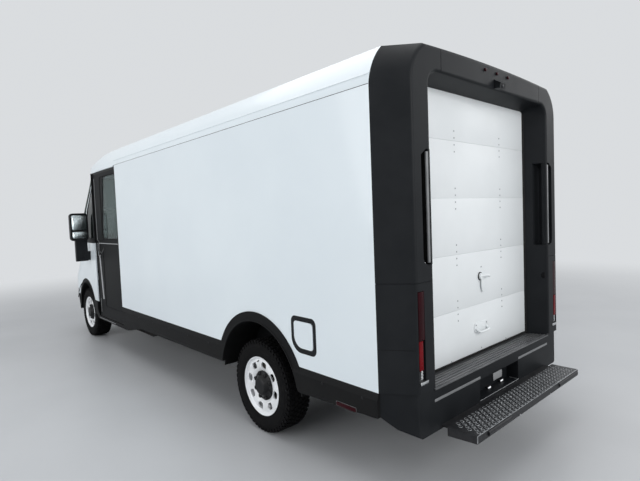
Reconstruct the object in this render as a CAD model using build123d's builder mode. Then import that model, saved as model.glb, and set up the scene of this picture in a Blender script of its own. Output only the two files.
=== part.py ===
"""Walk-in electric cargo van, one named solid or pair of solids per piece.

X runs forward, Y to the left and Z up, all in millimetres.  The origin lies
on the ground under the middle of the van's overall length.
"""
import os
from math import cos, radians, sin, tan

from build123d import *

os.makedirs("parts", exist_ok=True)

# ------------------------------------------------------- lengths along X
wheelbase = 4640.0
front_overhang = 976.0          # front axle to the nose
fender_run = 635.0              # fenders' rear edge to the front axle
doorway = 985.0                 # side panels' front edge to the fenders
roof_lap = 41.0                 # how far the load body's roof runs over the doorway
portal_overhang = 1466.0        # rear axle to the rear portal's face
portal_depth = 196.0            # portal's face to the side panels
door_reveal = 167.0             # portal's face to the roll-up door
step_reach = 248.0              # portal's face to the edge of the step
step_depth = 208.0

overall_length = wheelbase + front_overhang + portal_overhang + step_reach
nose_x = overall_length / 2
step_x = -overall_length / 2
portal_x = step_x + step_reach
rear_axle_x = portal_x + portal_overhang
front_axle_x = rear_axle_x + wheelbase
panel_rear_x = portal_x + portal_depth
door_face_x = portal_x + door_reveal
fender_x = front_axle_x - fender_run
panel_front_x = fender_x - doorway
roof_joint_x = panel_front_x + roof_lap

# ------------------------------------------------------- widths along Y
body_half = 1120.0              # outer face of the side panels
eave_inset = 122.0              # where the eave turns into the roof
opening_half = 822.0            # rear opening at the portal's face
opening_draft = 62.0            # how much it narrows down to the door
portal_bevel = 135.0            # side bevel of the portal, across the van
step_half = 774.0
rail_inner = 380.0              # chassis rails
rail_width = 70.0
battery_half = 735.0
hood_half = 647.0

opening_inner_half = opening_half - opening_draft
portal_face_half = body_half - portal_bevel
rail_outer = rail_inner + rail_width

# ------------------------------------------------------ heights along Z
skirt_z = 355.0                 # lower edge of the sill cladding
step_z = 415.0                  # top of the rear step
sill_z = 654.0                  # lower edge of the side panels
floor_drop = 14.0               # load floor below the side panels' edge
panel_height = 1799.0
eave_rise = 234.0               # side panels' upper edge to the roof's edge
crown_rise = 68.0               # roof's edge to its centre line
roof_foot = 13.0                # cab roof's foot below the side panels' upper edge
belt_z = 1450.0                 # bottom of the windscreen
opening_rise = 89.0             # rear opening above the side panels' upper edge
header_drop = 33.0              # sloping header over the roll-up door
rail_top_z = 600.0
rail_height = 160.0

floor_z = sill_z - floor_drop
seam_z = sill_z + panel_height
eave_z = seam_z + eave_rise
crown_z = eave_z + crown_rise
glass_top_z = seam_z - roof_foot
screen_height = glass_top_z - belt_z
opening_top_z = seam_z + opening_rise
header_z = opening_top_z - header_drop
rail_low_z = rail_top_z - rail_height
eave_y = body_half - eave_inset

# ------------------------------------------------------- sheets and gaps
skin = 8.0                      # side panels and inner walls
roof_skin = 14.0
cab_skin = 14.0
liner_skin = 8.0
body_gap = 6.0                  # clearance between pieces that move apart
fit_gap = 0.3                   # running clearance at a bearing face
groove = 5.0                    # depth and width of the shut lines

# ---------------------------------------------------------------- wheels
tyre_radius = 372.0
tyre_half = 112.0
rim_radius = 236.0
rear_track_half = 988.0
front_track_half = 962.0
mount_face = 34.0               # wheel's mounting face, out from its middle
flange_radius = 90.0
cap_radius = 118.0
hand_holes = 8
arch_radius = 530.0             # opening in the rear arch ring
arch_ring = 75.0
front_arch_radius = 470.0
front_arch_ring = 55.0
kingpin_inset = 80.0            # kingpin inboard of the wheel's middle

# ------------------------------------------------------------ side doors
door_thickness = 36.0
door_recess = 20.0              # door's outer face inside the side panels'
door_foot_z = 420.0
track_height = 25.0
door_lap = 30.0                 # how far the closed door sits in its pocket
door_travel = 860.0
track_depth = 50.0
window_sill = 68.0              # window above the belt
window_drop = 57.0              # window below the door's head
window_rear = 90.0              # door's rear edge to its glass
window_length = 620.0           # at its foot
window_rake = 130.0             # how far its front edge leans back

door_outer = body_half - door_recess
door_head_z = glass_top_z - track_height
window_low_z = belt_z + window_sill
window_top_z = door_head_z - window_drop

sides = {"l": 1, "r": -1}


# --------------------------------------------------------------- helpers
def export(part, name):
    """Label one finished piece and write it."""
    part.label = name
    export_step(part, f"parts/{name}.step")


def block(low, high, radius=0.0):
    """Box between two corners, with its upright edges rounded."""
    size = [b - a for a, b in zip(low, high)]
    with BuildPart() as piece:
        with Locations(tuple((a + b) / 2 for a, b in zip(low, high))):
            Box(*size)
        if radius:
            fillet(piece.edges().filter_by(Axis.Z), radius)
    return piece.part


def mirrored_block(low, high, side):
    """Box given for the left side, put on either side."""
    y_low, y_high = sorted((side * low[1], side * high[1]))
    return block((low[0], y_low, low[2]), (high[0], y_high, high[2]))


def side_plate(outline, inner, outer, side):
    """Plate with the given XZ outline, between two distances from the middle."""
    start = inner if side > 0 else -outer
    with BuildPart() as piece:
        with BuildSketch(Plane.XZ.offset(-start)):
            with BuildLine():
                Polyline(*outline, close=True)
            make_face()
        extrude(amount=-(outer - inner))
    return piece.part


def cross_rod(x, z, radius, y0, y1):
    """Round bar across the van between two Y positions."""
    low, high = sorted((y0, y1))
    with BuildPart() as piece:
        with BuildSketch(Plane.XZ.offset(-low)):
            with Locations((x, z)):
                Circle(radius)
        extrude(amount=-(high - low))
    return piece.part


def side_disc(x, radius, inner, outer, side):
    """Round plug on a wheel's axis, between two distances from the middle."""
    return cross_rod(x, tyre_radius, radius, side * inner, side * outer)


def turned(outline, centre, side):
    """Ring turned about a wheel's axis, from distances out of its middle and radii."""
    with BuildPart() as piece:
        with BuildSketch(Plane(origin=centre, x_dir=(0, side, 0), z_dir=(side, 0, 0))):
            with BuildLine():
                Polyline(*outline, close=True)
            make_face()
        revolve(axis=Axis(centre, (0, 1, 0)))
    return piece.part


# ------------------------------------------------------------------- cab
# height, inset of the side, then setbacks from the nose: start of the corner,
# end of the corner (with its distance from the middle) and the middle itself
cab_rows = [
    (skirt_z + 5, 60.0, 515.0, 145.0, 720.0, 55.0),
    (620.0, 48.0, 505.0, 100.0, 720.0, 0.0),
    (905.0, 48.0, 515.0, 110.0, 720.0, 5.0),
    (1125.0, 50.0, 755.0, 265.0, 690.0, 135.0),
    (belt_z, 58.0, 905.0, 415.0, 650.0, 285.0),
]
screen_rows = [
    (belt_z, 58.0, 905.0, 415.0, 650.0, 285.0),
    (belt_z + 0.50 * screen_height, 64.0, 1085.0, 620.0, 648.0, 480.0),
    (belt_z + 0.76 * screen_height, 71.0, 1307.0, 850.0, 644.0, 720.0),
    (glass_top_z, 80.0, 1455.0, 1025.0, 640.0, 900.0),
]
bumper_low_z = cab_rows[0][0]
band_low_z = cab_rows[2][0]
band_top_z = cab_rows[3][0]
bumper_split_z = 700.0
bumper_rear_x = front_axle_x + front_arch_radius + front_arch_ring + 11.0


def cab_section(row, inset=0.0):
    """Plan outline of the cab at one height, moved inwards by inset."""
    z, tuck, corner_back, end_back, end_y, middle_back = row
    side = body_half - tuck - inset
    back = body_half - inset
    start_x = nose_x - corner_back
    end_x = nose_x - end_back - inset
    end_y = end_y - 0.5 * inset
    tip_x = nose_x - middle_back - inset
    mid_x = start_x + 0.72 * (end_x - start_x)
    mid_y = end_y + 0.72 * (side - end_y)
    with BuildSketch(Plane.XY.offset(z)) as sk:
        with BuildLine():
            Line((panel_front_x, -back), (panel_front_x, back))
            Line((panel_front_x, back), (fender_x, back))
            Line((fender_x, back), (start_x, side))
            ThreePointArc((start_x, side), (mid_x, mid_y), (end_x, end_y))
            ThreePointArc((end_x, end_y), (tip_x, 0), (end_x, -end_y))
            ThreePointArc((end_x, -end_y), (mid_x, -mid_y), (start_x, -side))
            Line((start_x, -side), (fender_x, -back))
            Line((fender_x, -back), (panel_front_x, -back))
        make_face()
    return sk.sketch


def cab_body(rows, inset=0.0, ruled=True):
    """Closed body of the cab between the first and last of the rows."""
    with BuildPart() as piece:
        loft([cab_section(row, inset) for row in rows], ruled=ruled)
    return piece.part


def cut_to(shell, region):
    """The part of a shell that lies over an XZ region, on both sides."""
    with BuildPart() as piece:
        add(shell)
        with BuildSketch(Plane.XZ):
            with BuildLine():
                Polyline(*region, close=True)
            make_face()
        extrude(amount=1.2 * body_half, both=True, mode=Mode.INTERSECT)
    return piece.part


lower_body = cab_body(cab_rows)
screen_body = cab_body(screen_rows, ruled=False)
lower_shell = lower_body - cab_body(cab_rows, cab_skin)
screen_shell = screen_body - cab_body(screen_rows, cab_skin, ruled=False)
pillar_shell = screen_body - cab_body(screen_rows, 3 * cab_skin, ruled=False)
front_arch_outer = front_arch_radius + front_arch_ring
front_arches = cross_rod(front_axle_x, tyre_radius, front_arch_outer, -body_half, body_half)
far_x = nose_x + 50
band_rear_x = nose_x - 400
band_rake = 240.0               # its end leans back over its height
wing_cut = 2 * cab_skin
middle = block((-nose_x, -hood_half - 3, 0), (far_x, hood_half + 3, 2 * belt_z))

fender_region = [
    (fender_x, sill_z - 38), (bumper_rear_x, sill_z - 38), (bumper_rear_x, band_low_z), (band_rear_x,
                                                                                         band_low_z),
    (band_rear_x - band_rake, band_top_z), (far_x, band_top_z), (far_x, belt_z), (fender_x, belt_z),
]
with BuildPart() as fenders:
    add(cut_to(lower_shell, fender_region))
    add(front_arches, mode=Mode.SUBTRACT)
    add(middle, mode=Mode.SUBTRACT)
export(fenders.part, "fenders")

with BuildPart() as hood:
    add(cut_to(lower_shell, [(2800, band_top_z), (far_x, band_top_z), (far_x, belt_z), (2800, belt_z)]))
    add(block((-nose_x, -hood_half, 0), (far_x, hood_half, 2 * belt_z)), mode=Mode.INTERSECT)
export(hood.part, "hood")

# nose band with two upright lamps and a thin light bar between them
lamp_y = 610.0
lamp_width = 96.0
lamp_height = 168.0
light_bar = 22.0
lamp_depth = 40.0
lamp_set_back = 4.0
band_mid_z = (band_low_z + band_top_z) / 2
band_region = [(band_rear_x, band_low_z), (far_x, band_low_z), (far_x, band_top_z),
               (band_rear_x - band_rake, band_top_z)]
band_blank = cut_to(lower_body - cab_body(cab_rows, lamp_depth), band_region)
with BuildPart() as lamp_windows:
    with BuildSketch(Plane.YZ.offset(nose_x - 400)):
        with Locations((lamp_y, band_mid_z), (-lamp_y, band_mid_z)):
            SlotOverall(lamp_height, lamp_width, rotation=90)
        with Locations((0, band_mid_z)):
            Rectangle(2 * lamp_y - lamp_width + 8, light_bar)
    extrude(amount=500)
with BuildPart() as nose_band:
    add(band_blank)
    add(lamp_windows.part, mode=Mode.SUBTRACT)
export(nose_band.part, "nose_band")

with BuildPart() as headlamps:
    add(cut_to(cab_body(cab_rows, lamp_set_back) - cab_body(cab_rows, lamp_depth), band_region))
    add(lamp_windows.part, mode=Mode.INTERSECT)

# front bumper: painted upper moulding, black lower one with its air intake
upper_region = [(bumper_rear_x, bumper_split_z), (far_x, bumper_split_z), (far_x, band_low_z),
                (bumper_rear_x, band_low_z)]
with BuildPart() as bumper_front_upper:
    add(cut_to(lower_shell, upper_region))
    add(front_arches, mode=Mode.SUBTRACT)
export(bumper_front_upper.part, "bumper_front_upper")

intake_half = 470.0
intake_low_z = 430.0
intake_top_z = 575.0
slat_pitch = 36.0
slat_height = 12.0
lower_region = [(bumper_rear_x, bumper_low_z), (far_x, bumper_low_z), (far_x, bumper_split_z),
                (bumper_rear_x, bumper_split_z)]
thick_shell = lower_body - cab_body(cab_rows, 3 * cab_skin)
with BuildPart() as intake:
    with BuildSketch(Plane.YZ.offset(nose_x - 300)):
        with Locations((0, (intake_low_z + intake_top_z) / 2)):
            RectangleRounded(2 * intake_half, intake_top_z - intake_low_z, 40)
    extrude(amount=400)
with BuildPart() as bumper_front_lower:
    add(cut_to(thick_shell, lower_region))
    add(front_arches, mode=Mode.SUBTRACT)
    add(intake.part, mode=Mode.SUBTRACT)

slat_count = int((intake_top_z - intake_low_z - slat_height) / slat_pitch)
slat_first_z = (intake_low_z + intake_top_z - (slat_count - 1) * slat_pitch) / 2
with BuildPart() as slats:
    with Locations(*[(nose_x - 100, 0, slat_first_z + i * slat_pitch) for i in range(slat_count)]):
        Box(400, 2 * intake_half, slat_height)
with BuildPart() as grille:
    add(cab_body(cab_rows, cab_skin) - cab_body(cab_rows, 2 * cab_skin))
    add(intake.part, mode=Mode.INTERSECT)
    add(slats.part, mode=Mode.INTERSECT)
export(bumper_front_lower.part + grille.part, "bumper_front_lower")

# windscreen between the two pillars, with the black cowl along its foot
cowl_height = 45.0
pillar_width = 46.0
pillar_points = [(nose_x - row[2] + 8, row[0]) for row in screen_rows]
screen_foot_z = belt_z + cowl_height
pillar_slope = (pillar_points[1][0] - pillar_points[0][0]) / (pillar_points[1][1] - pillar_points[0][1])
foot_x = pillar_points[0][0] + pillar_slope * cowl_height
screen_region = [(foot_x, screen_foot_z), *pillar_points[1:], (far_x, glass_top_z),
                 (far_x, screen_foot_z)]
with BuildPart() as windshield:
    add(cut_to(screen_shell, screen_region))

cowl_region = [pillar_points[0], (foot_x, screen_foot_z), (far_x, screen_foot_z), (far_x, belt_z)]
with BuildPart() as cowl:
    add(cut_to(pillar_shell, cowl_region))

pillar_back = [(x - pillar_width, z) for x, z in pillar_points]
with BuildPart() as front_pillars:
    add(cut_to(pillar_shell, [*pillar_points, *reversed(pillar_back)]))
export(front_pillars.part, "front_pillars")

quarter_rim = 55.0
frame_region = [(fender_x, belt_z), *pillar_back, (fender_x, glass_top_z)]
quarter_low_z = belt_z + 75
quarter_top_x, quarter_top_z = pillar_back[2][0] - quarter_rim, pillar_back[2][1]
quarter = [
    (fender_x + quarter_rim, quarter_low_z), (pillar_back[0][0] - quarter_rim - 60, quarter_low_z),
    (pillar_back[1][0] - quarter_rim, pillar_back[1][1]), (quarter_top_x - 10, quarter_top_z),
    (quarter_top_x - 60, quarter_top_z + 60), (fender_x + quarter_rim, quarter_top_z + 60),
]
with BuildPart() as cab_frame:
    add(cut_to(pillar_shell, frame_region))
    with BuildSketch(Plane.XZ):
        with BuildLine():
            Polyline(*quarter, close=True)
        make_face()
    extrude(amount=1.2 * body_half, both=True, mode=Mode.SUBTRACT)
export(cab_frame.part + cowl.part, "cab_frame")

with BuildPart() as quarter_glass:
    add(cut_to(cab_body(screen_rows, 4, ruled=False) - cab_body(screen_rows, cab_skin, ruled=False),
               quarter))
export(windshield.part + quarter_glass.part, "cab_glass")


# roof cap over the cab: x, half width, rise as a share of the load body's roof
cap_rows = [
    (roof_joint_x, body_half, 1.0),
    (nose_x - 1945, body_half - 4, 0.955),
    (nose_x - 1515, body_half - 30, 0.83),
    (nose_x - 1165, body_half - 70, 0.60),
    (nose_x - 865, body_half - 110, 0.24),
]
cap_skin = 40.0


def roof_section(x, side, rise, inset=0.0, foot=glass_top_z):
    """Section across the roof, its height over foot scaled by rise."""
    half = side - inset
    top = [foot + (z - foot) * rise for z in (seam_z, seam_z + 0.585 * eave_rise, eave_z, crown_z)]
    seam, knee, eave, crown = top[0], top[1] - 0.6 * inset, top[2] - inset, top[3] - inset
    with BuildSketch(Plane.YZ.offset(x)) as sk:
        with BuildLine():
            Line((-half, foot), (half, foot))
            Line((half, foot), (half, seam))
            ThreePointArc((half, seam), (half - 0.37 * eave_inset, knee), (side - eave_inset, eave))
            ThreePointArc((side - eave_inset, eave), (0, crown), (eave_inset - side, eave))
            ThreePointArc((eave_inset - side, eave), (0.37 * eave_inset - half, knee), (-half, seam))
            Line((-half, seam), (-half, foot))
        make_face()
    return sk.sketch


with BuildPart() as cab_roof:
    loft([roof_section(*row) for row in cap_rows])
    extrude(cab_section(screen_rows[-1]), amount=400, mode=Mode.INTERSECT)
    loft([roof_section(x, side, rise, cap_skin) for x, side, rise in cap_rows[:4]], mode=Mode.SUBTRACT)
export(cab_roof.part, "cab_roof")

# amber clearance lamps along the brow
brow_z = glass_top_z + 34.0
with BuildPart() as lamp_bars:
    for y in (-640, -170, 0, 170, 640):
        add(block((nose_x - 1300, y - 34, brow_z - 9), (far_x, y + 34, brow_z + 9)))
with BuildPart() as clearance_lamps:
    extrude(cab_section(screen_rows[-1], -8.0), amount=100)
    add(lamp_bars.part, mode=Mode.INTERSECT)
    add(cab_roof.part, mode=Mode.SUBTRACT)
    extrude(cab_section(screen_rows[-1]), amount=100, mode=Mode.SUBTRACT)
export(headlamps.part + clearance_lamps.part, "front_lamps")

# ------------------------------------------------------------ cargo body
# roof skin with its rounded eaves, a drip bead and shallow swages
bead_radius = 5.0
bead_y = body_half - 0.11 * eave_inset
bead_z = seam_z + 0.265 * eave_rise
swage_width = 46.0
swage_height = 5.0
swage_pitch = 310.0
roof_length = roof_joint_x - panel_rear_x
with BuildPart() as cargo_roof:
    extrude(roof_section(panel_rear_x, body_half, 1.0, foot=seam_z - 1), amount=roof_length)
    extrude(roof_section(panel_rear_x, body_half, 1.0, roof_skin, foot=seam_z - 1), amount=roof_length,
            mode=Mode.SUBTRACT)
    add(block((panel_rear_x - 1, -body_half, seam_z - 2), (roof_joint_x + 1, body_half, seam_z)),
        mode=Mode.SUBTRACT)
    with BuildSketch(Plane.YZ.offset(panel_rear_x)):
        with Locations((bead_y, bead_z), (-bead_y, bead_z)):
            Circle(bead_radius)
    extrude(amount=roof_length)
    with BuildSketch(Plane.YZ.offset(panel_rear_x + 60)):
        for i in (-2, -1, 0, 1, 2):
            y = i * swage_pitch
            fall = crown_rise * (y / eave_y) ** 2
            with Locations((y, crown_z - fall - 1)):
                Rectangle(swage_width, 2 * swage_height)
    extrude(amount=roof_length - 120)
export(cargo_roof.part, "cargo_roof")

# side panels: flat skins with the rear arch and, on the left, the charge port
flap_front = 462.0              # rear axle back to the charge surround
flap_width = 267.0
flap_height = 261.0
flap_low_z = 756.0
flap_corner = 45.0
flap_ring = 30.0
flap_mid = (rear_axle_x - flap_front - flap_width / 2, flap_low_z + flap_height / 2)
flap_toe = 105.0                # radius of its lower front corner


def flap_slab(mid, width, height, inset, inner, outer):
    """Charge flap's outline as a slab on the left side, moved inwards by inset."""
    x0, x1 = mid[0] - width / 2, mid[0] + width / 2
    z0, z1 = mid[1] - height / 2, mid[1] + height / 2
    with BuildPart() as piece:
        with BuildSketch(Plane.XZ.offset(-inner)) as sk:
            with BuildLine():
                Polyline((x0, z0), (x1, z0), (x1, z1), (x0, z1), close=True)
            make_face()
            fillet(sk.vertices().sort_by(lambda v: v.X - v.Y)[-1], flap_toe - inset)
            sharp = [(x0, z0), (x0, z1), (x1, z1)]
            fillet([v for v in sk.vertices() if any(abs(v.X - x) + abs(v.Y - z) < 1 for x, z in sharp)],
                   flap_corner - inset)
        extrude(amount=-(outer - inner))
    return piece.part


panel_inner = body_half - skin
liner_inner = door_outer - door_thickness - 2 * body_gap - 1.5 * skin
liner_outer = liner_inner + skin
ring_radius = arch_radius + arch_ring
for tag, side in sides.items():
    outline = [(panel_rear_x, sill_z), (panel_front_x, sill_z), (panel_front_x, seam_z),
               (panel_rear_x, seam_z)]
    with BuildPart() as panel:
        add(side_plate(outline, panel_inner, body_half, side))
        add(side_disc(rear_axle_x, ring_radius, panel_inner - 50, body_half + 50, side),
            mode=Mode.SUBTRACT)
        if side > 0:
            add(flap_slab(flap_mid, flap_width, flap_height, 0.0, panel_inner - 50, body_half + 50),
                mode=Mode.SUBTRACT)
    export(panel.part, f"side_panel_{tag}")

# inner walls: the side doors slide between them and the panels
liner_foot_z = 480.0
liner_outline = [(panel_rear_x, liner_foot_z), (panel_front_x, door_foot_z - 15),
                 (panel_front_x, glass_top_z), (panel_rear_x, glass_top_z)]
with BuildPart() as side_liners:
    for side in sides.values():
        add(side_plate(liner_outline, liner_inner, liner_outer, side))
        add(side_disc(rear_axle_x, arch_radius + liner_skin + 7, liner_inner - 50, body_half, side),
            mode=Mode.SUBTRACT)
export(side_liners.part, "side_liners")

# sill cladding: one moulding a side, from the rear portal to the front wheel
clad_bulge = 14.0
clad_wall = 12.0
clad_foot_y = body_half - 22.0
tread_z = door_foot_z - 20.0    # top of the entry steps
clad_profile = [
    (body_half, sill_z), (body_half + clad_bulge, sill_z - 44), (body_half + clad_bulge, sill_z - 154),
    (clad_foot_y, skirt_z), (clad_foot_y - 2 * clad_wall, skirt_z), (clad_foot_y - 2 * clad_wall,
                                                                     tread_z),
    (body_half - clad_wall, door_foot_z - 8), (body_half - clad_wall, sill_z),
]
wheel_gap_front = front_axle_x - 350.0
clad_middle = [
    (rear_axle_x, sill_z), (panel_front_x, sill_z), (panel_front_x, door_foot_z - 10), (fender_x,
                                                                                        door_foot_z - 10),
    (fender_x, sill_z - 38), (wheel_gap_front, sill_z - 38), (wheel_gap_front, skirt_z),
    (panel_front_x - 90, skirt_z), (panel_front_x - 600, skirt_z + 102), (rear_axle_x, skirt_z + 125),
]
clad_tail = [
    (panel_rear_x, sill_z), (rear_axle_x, sill_z), (rear_axle_x, skirt_z + 115), (rear_axle_x - 560,
                                                                                  skirt_z + 115),
    (panel_rear_x, skirt_z + 150),
]
clad_in = body_half - 200.0
clad_out = body_half + 100.0
for tag, side in sides.items():
    with BuildPart() as cladding:
        with BuildSketch(Plane.YZ.offset(panel_rear_x)):
            with BuildLine():
                Polyline(*[(side * y, z) for y, z in clad_profile], close=True)
            make_face()
        extrude(amount=wheel_gap_front - panel_rear_x)
        add(side_plate(clad_middle, clad_in, clad_out, side) + side_plate(clad_tail, clad_in, clad_out,
                                                                          side),
            mode=Mode.INTERSECT)
        ring = side_disc(rear_axle_x, ring_radius, body_half - 16, body_half + 8, side)
        add(ring & block((rear_axle_x - 900, -clad_out, skirt_z + 125),
                         (rear_axle_x + 900, clad_out, belt_z)))
        add(side_disc(rear_axle_x, arch_radius, clad_in, clad_out, side), mode=Mode.SUBTRACT)
        add(side_disc(front_axle_x, front_arch_radius + front_arch_ring, clad_in, clad_out, side),
            mode=Mode.SUBTRACT)
    export(cladding.part, f"cladding_{tag}")

# front arch trims, inside the fenders' openings
trim_inner = body_half - 110.0
with BuildPart() as arch_trims:
    for side in sides.values():
        ring = side_disc(front_axle_x, front_arch_radius + front_arch_ring, trim_inner, body_half, side)
        ring = ring - side_disc(front_axle_x, front_arch_radius, trim_inner - 10, body_half + 10, side)
        add(ring & block((front_axle_x - 900, -clad_out, skirt_z + 60),
                         (front_axle_x + 900, clad_out, belt_z)))
    add(lower_body, mode=Mode.INTERSECT)

# wheel housings, open below and outwards
housing_inner = rear_track_half - tyre_half - 76.0
front_housing_inner = front_track_half - tyre_half - 250.0
housing_foot_z = tyre_radius + 60.0
with BuildPart() as arch_liners:
    for side in sides.values():
        for axle, radius, inner, outer in (
            (rear_axle_x, arch_radius, housing_inner, body_half - 16),
            (front_axle_x, front_arch_radius, front_housing_inner, trim_inner),
        ):
            shell = side_disc(axle, radius + liner_skin, inner, outer, side)
            shell = shell - side_disc(axle, radius, inner + liner_skin, outer, side)
            add(shell & block((axle - 900, -clad_out, housing_foot_z), (axle + 900, clad_out, belt_z)))
        # way in for the upper suspension arm
        slot = mirrored_block((front_axle_x - 70, front_housing_inner - 10, housing_foot_z - 50),
                              (front_axle_x + 70, front_housing_inner + 20, housing_foot_z + 170), side)
        add(slot, mode=Mode.SUBTRACT)
export(arch_liners.part + arch_trims.part, "arch_liners")

# ---------------------------------------------------------- rear portal
def portal_section(x, side, knee, eave, crown, foot=sill_z):
    """Outline of the rear portal across the van at x."""
    with BuildSketch(Plane.YZ.offset(x)) as sk:
        with BuildLine():
            Line((-side, foot), (side, foot))
            Line((side, foot), (side, seam_z))
            ThreePointArc((side, seam_z), knee, eave)
            ThreePointArc(eave, (0, crown), (-eave[0], eave[1]))
            ThreePointArc((-eave[0], eave[1]), (-knee[0], knee[1]), (-side, seam_z))
            Line((-side, seam_z), (-side, foot))
        make_face()
    return sk.sketch


def portal_body(inset, foot=sill_z):
    """Closed body of the portal, its outside moved inwards by inset."""
    front = portal_section(panel_rear_x, body_half - inset,
                           (body_half - 0.37 * eave_inset - inset,
                            seam_z + 0.585 * eave_rise - 0.6 * inset),
                           (eave_y, eave_z - inset), crown_z - inset, foot)
    rear = portal_section(portal_x + inset, portal_face_half - inset,
                          (portal_face_half - 0.33 * eave_inset - inset,
                           seam_z + 0.585 * eave_rise - 0.6 * inset),
                          (portal_face_half - 1.23 * eave_inset, eave_z - 4 - inset),
                          eave_z + 10 - inset, foot)
    with BuildPart() as piece:
        loft([rear, front], ruled=True)
    return piece.part


crease_round = 25.0             # rounding of the portal's outer edge
edge_round = 18.0               # rounding of the opening's edge
with BuildPart() as portal_blank:
    add(portal_body(0.0))
    portal_face = portal_blank.faces().sort_by(Axis.X)[0]
    fillet([e for e in portal_face.edges() if e.center().Z > sill_z + 5], crease_round)
portal_core = portal_body(groove)
opening_corner = 100.0
pocket_low_z = 1400.0
pocket_height = 676.0
pocket_top_z = pocket_low_z + pocket_height
pocket_half = opening_half + 90.0
pocket_depth = 102.0
pocket_outline = [
    (opening_inner_half - 50, pocket_low_z), (pocket_half - 50, pocket_low_z),
    (pocket_half - 12, pocket_low_z + 14), (pocket_half, pocket_low_z + 44),
    (pocket_half, pocket_top_z - 36), (pocket_half - 50, pocket_top_z),
    (opening_inner_half - 50, pocket_top_z),
]
bar_depth = 46.0                # grab bar along the pocket's mouth
bar_width = 23.0
bar_half = opening_half + 16.0  # its outer side
shut_z = 1303.0                 # shut line round the portal's posts
beam_seam_y = 684.0             # shut lines of the top beam
lamp_low_z = 705.0
tail_height = 550.0
lamp_top_z = lamp_low_z + tail_height
lamp_mid_y = portal_face_half - 36.0
tail_width = 62.0
camera_z = eave_z - 112.0
marker_z = eave_z - 37.0
with BuildPart() as rear_frame:
    add(portal_blank.part)
    # opening, narrowing towards the door
    with BuildSketch(Plane.YZ.offset(portal_x)):
        with Locations((0, (opening_top_z + skirt_z) / 2)):
            RectangleRounded(2 * opening_half, opening_top_z - skirt_z, opening_corner)
    with BuildSketch(Plane.YZ.offset(door_face_x)):
        with Locations((0, (header_z + skirt_z) / 2)):
            RectangleRounded(2 * opening_inner_half, header_z - skirt_z, opening_corner / 2)
    loft(ruled=True, mode=Mode.SUBTRACT)
    portal_face = rear_frame.faces().sort_by(Axis.X)[0]
    fillet([e for e in portal_face.edges() if e.center().Z > sill_z + 5
            and abs(e.center().Y) < opening_half + 5 and e.center().Z < opening_top_z + 5], edge_round)
    # room for the door behind the lip
    add(block((door_face_x, -opening_half - 15, skirt_z), (panel_rear_x + 10, opening_half + 15,
                                                           opening_top_z + 30)),
        mode=Mode.SUBTRACT)
    for side in sides.values():
        with BuildSketch(Plane.YZ.offset(portal_x - 10)):
            with BuildLine():
                Polyline(*[(side * y, z) for y, z in pocket_outline], close=True)
            make_face()
        extrude(amount=pocket_depth + 10, mode=Mode.SUBTRACT)
        add(mirrored_block((portal_x - 10, lamp_mid_y - tail_width / 2, lamp_low_z),
                           (portal_x + 16, lamp_mid_y + tail_width / 2,
                            lamp_top_z), side), mode=Mode.SUBTRACT)
    # shut lines
    shut = block((portal_x - 20, -clad_out, shut_z - 2), (panel_rear_x, clad_out, shut_z + 2))
    for y in (-beam_seam_y, beam_seam_y):
        shut = shut + block((portal_x - 20, y - 2, opening_top_z - 20),
                            (panel_rear_x, y + 2, crown_z + 50))
    add(shut - portal_core, mode=Mode.SUBTRACT)
    # camera housing under the roof's edge
    with BuildSketch(Plane.XZ.offset(-38)):
        with BuildLine():
            Polyline((portal_x + 20, camera_z - 31), (portal_x + 20, camera_z + 31),
                     (portal_x, camera_z + 31),
                     (portal_x - 48, camera_z + 1), (portal_x - 40, camera_z - 33), (portal_x,
                                                                                     camera_z - 31),
                     close=True)
        make_face()
    extrude(amount=76)
export(rear_frame.part, "rear_frame")

with BuildPart() as grab_bars:
    for side in sides.values():
        add(mirrored_block((portal_x + 3, bar_half - bar_width, pocket_low_z),
                           (portal_x + bar_depth, bar_half, pocket_top_z), side))
    fillet(grab_bars.edges().filter_by(Axis.Z), 8)
export(grab_bars.part, "grab_bars")

with BuildPart() as tail_lamps:
    for side in sides.values():
        add(mirrored_block((portal_x + 4, lamp_mid_y - tail_width / 2 + 3, lamp_low_z),
                           (portal_x + 16, lamp_mid_y + tail_width / 2 - 3, lamp_top_z), side))

with BuildPart() as marker_lamps:
    with Locations(*[(portal_x - 3, y, marker_z) for y in (-160, 0, 160)]):
        Box(14, 24, 20)
    add(portal_blank.part, mode=Mode.SUBTRACT)
export(tail_lamps.part + marker_lamps.part, "rear_lamps")

# roll-up door in five sections
door_depth = 35.0
roll_foot_z = sill_z - 4.0
roll_seam_z = 985.0
roll_pitch = 405.0
roll_half = opening_half + 10
with BuildPart() as rollup_door:
    add(block((door_face_x, -roll_half, roll_foot_z), (door_face_x + door_depth, roll_half,
                                                       opening_top_z + 20)))
    with BuildSketch(Plane.XZ.offset(-roll_half)):
        with Locations(*[(door_face_x, roll_seam_z + i * roll_pitch) for i in range(4)]):
            Rectangle(9, 9, rotation=45)
    extrude(amount=2 * roll_half, mode=Mode.SUBTRACT)

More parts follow.
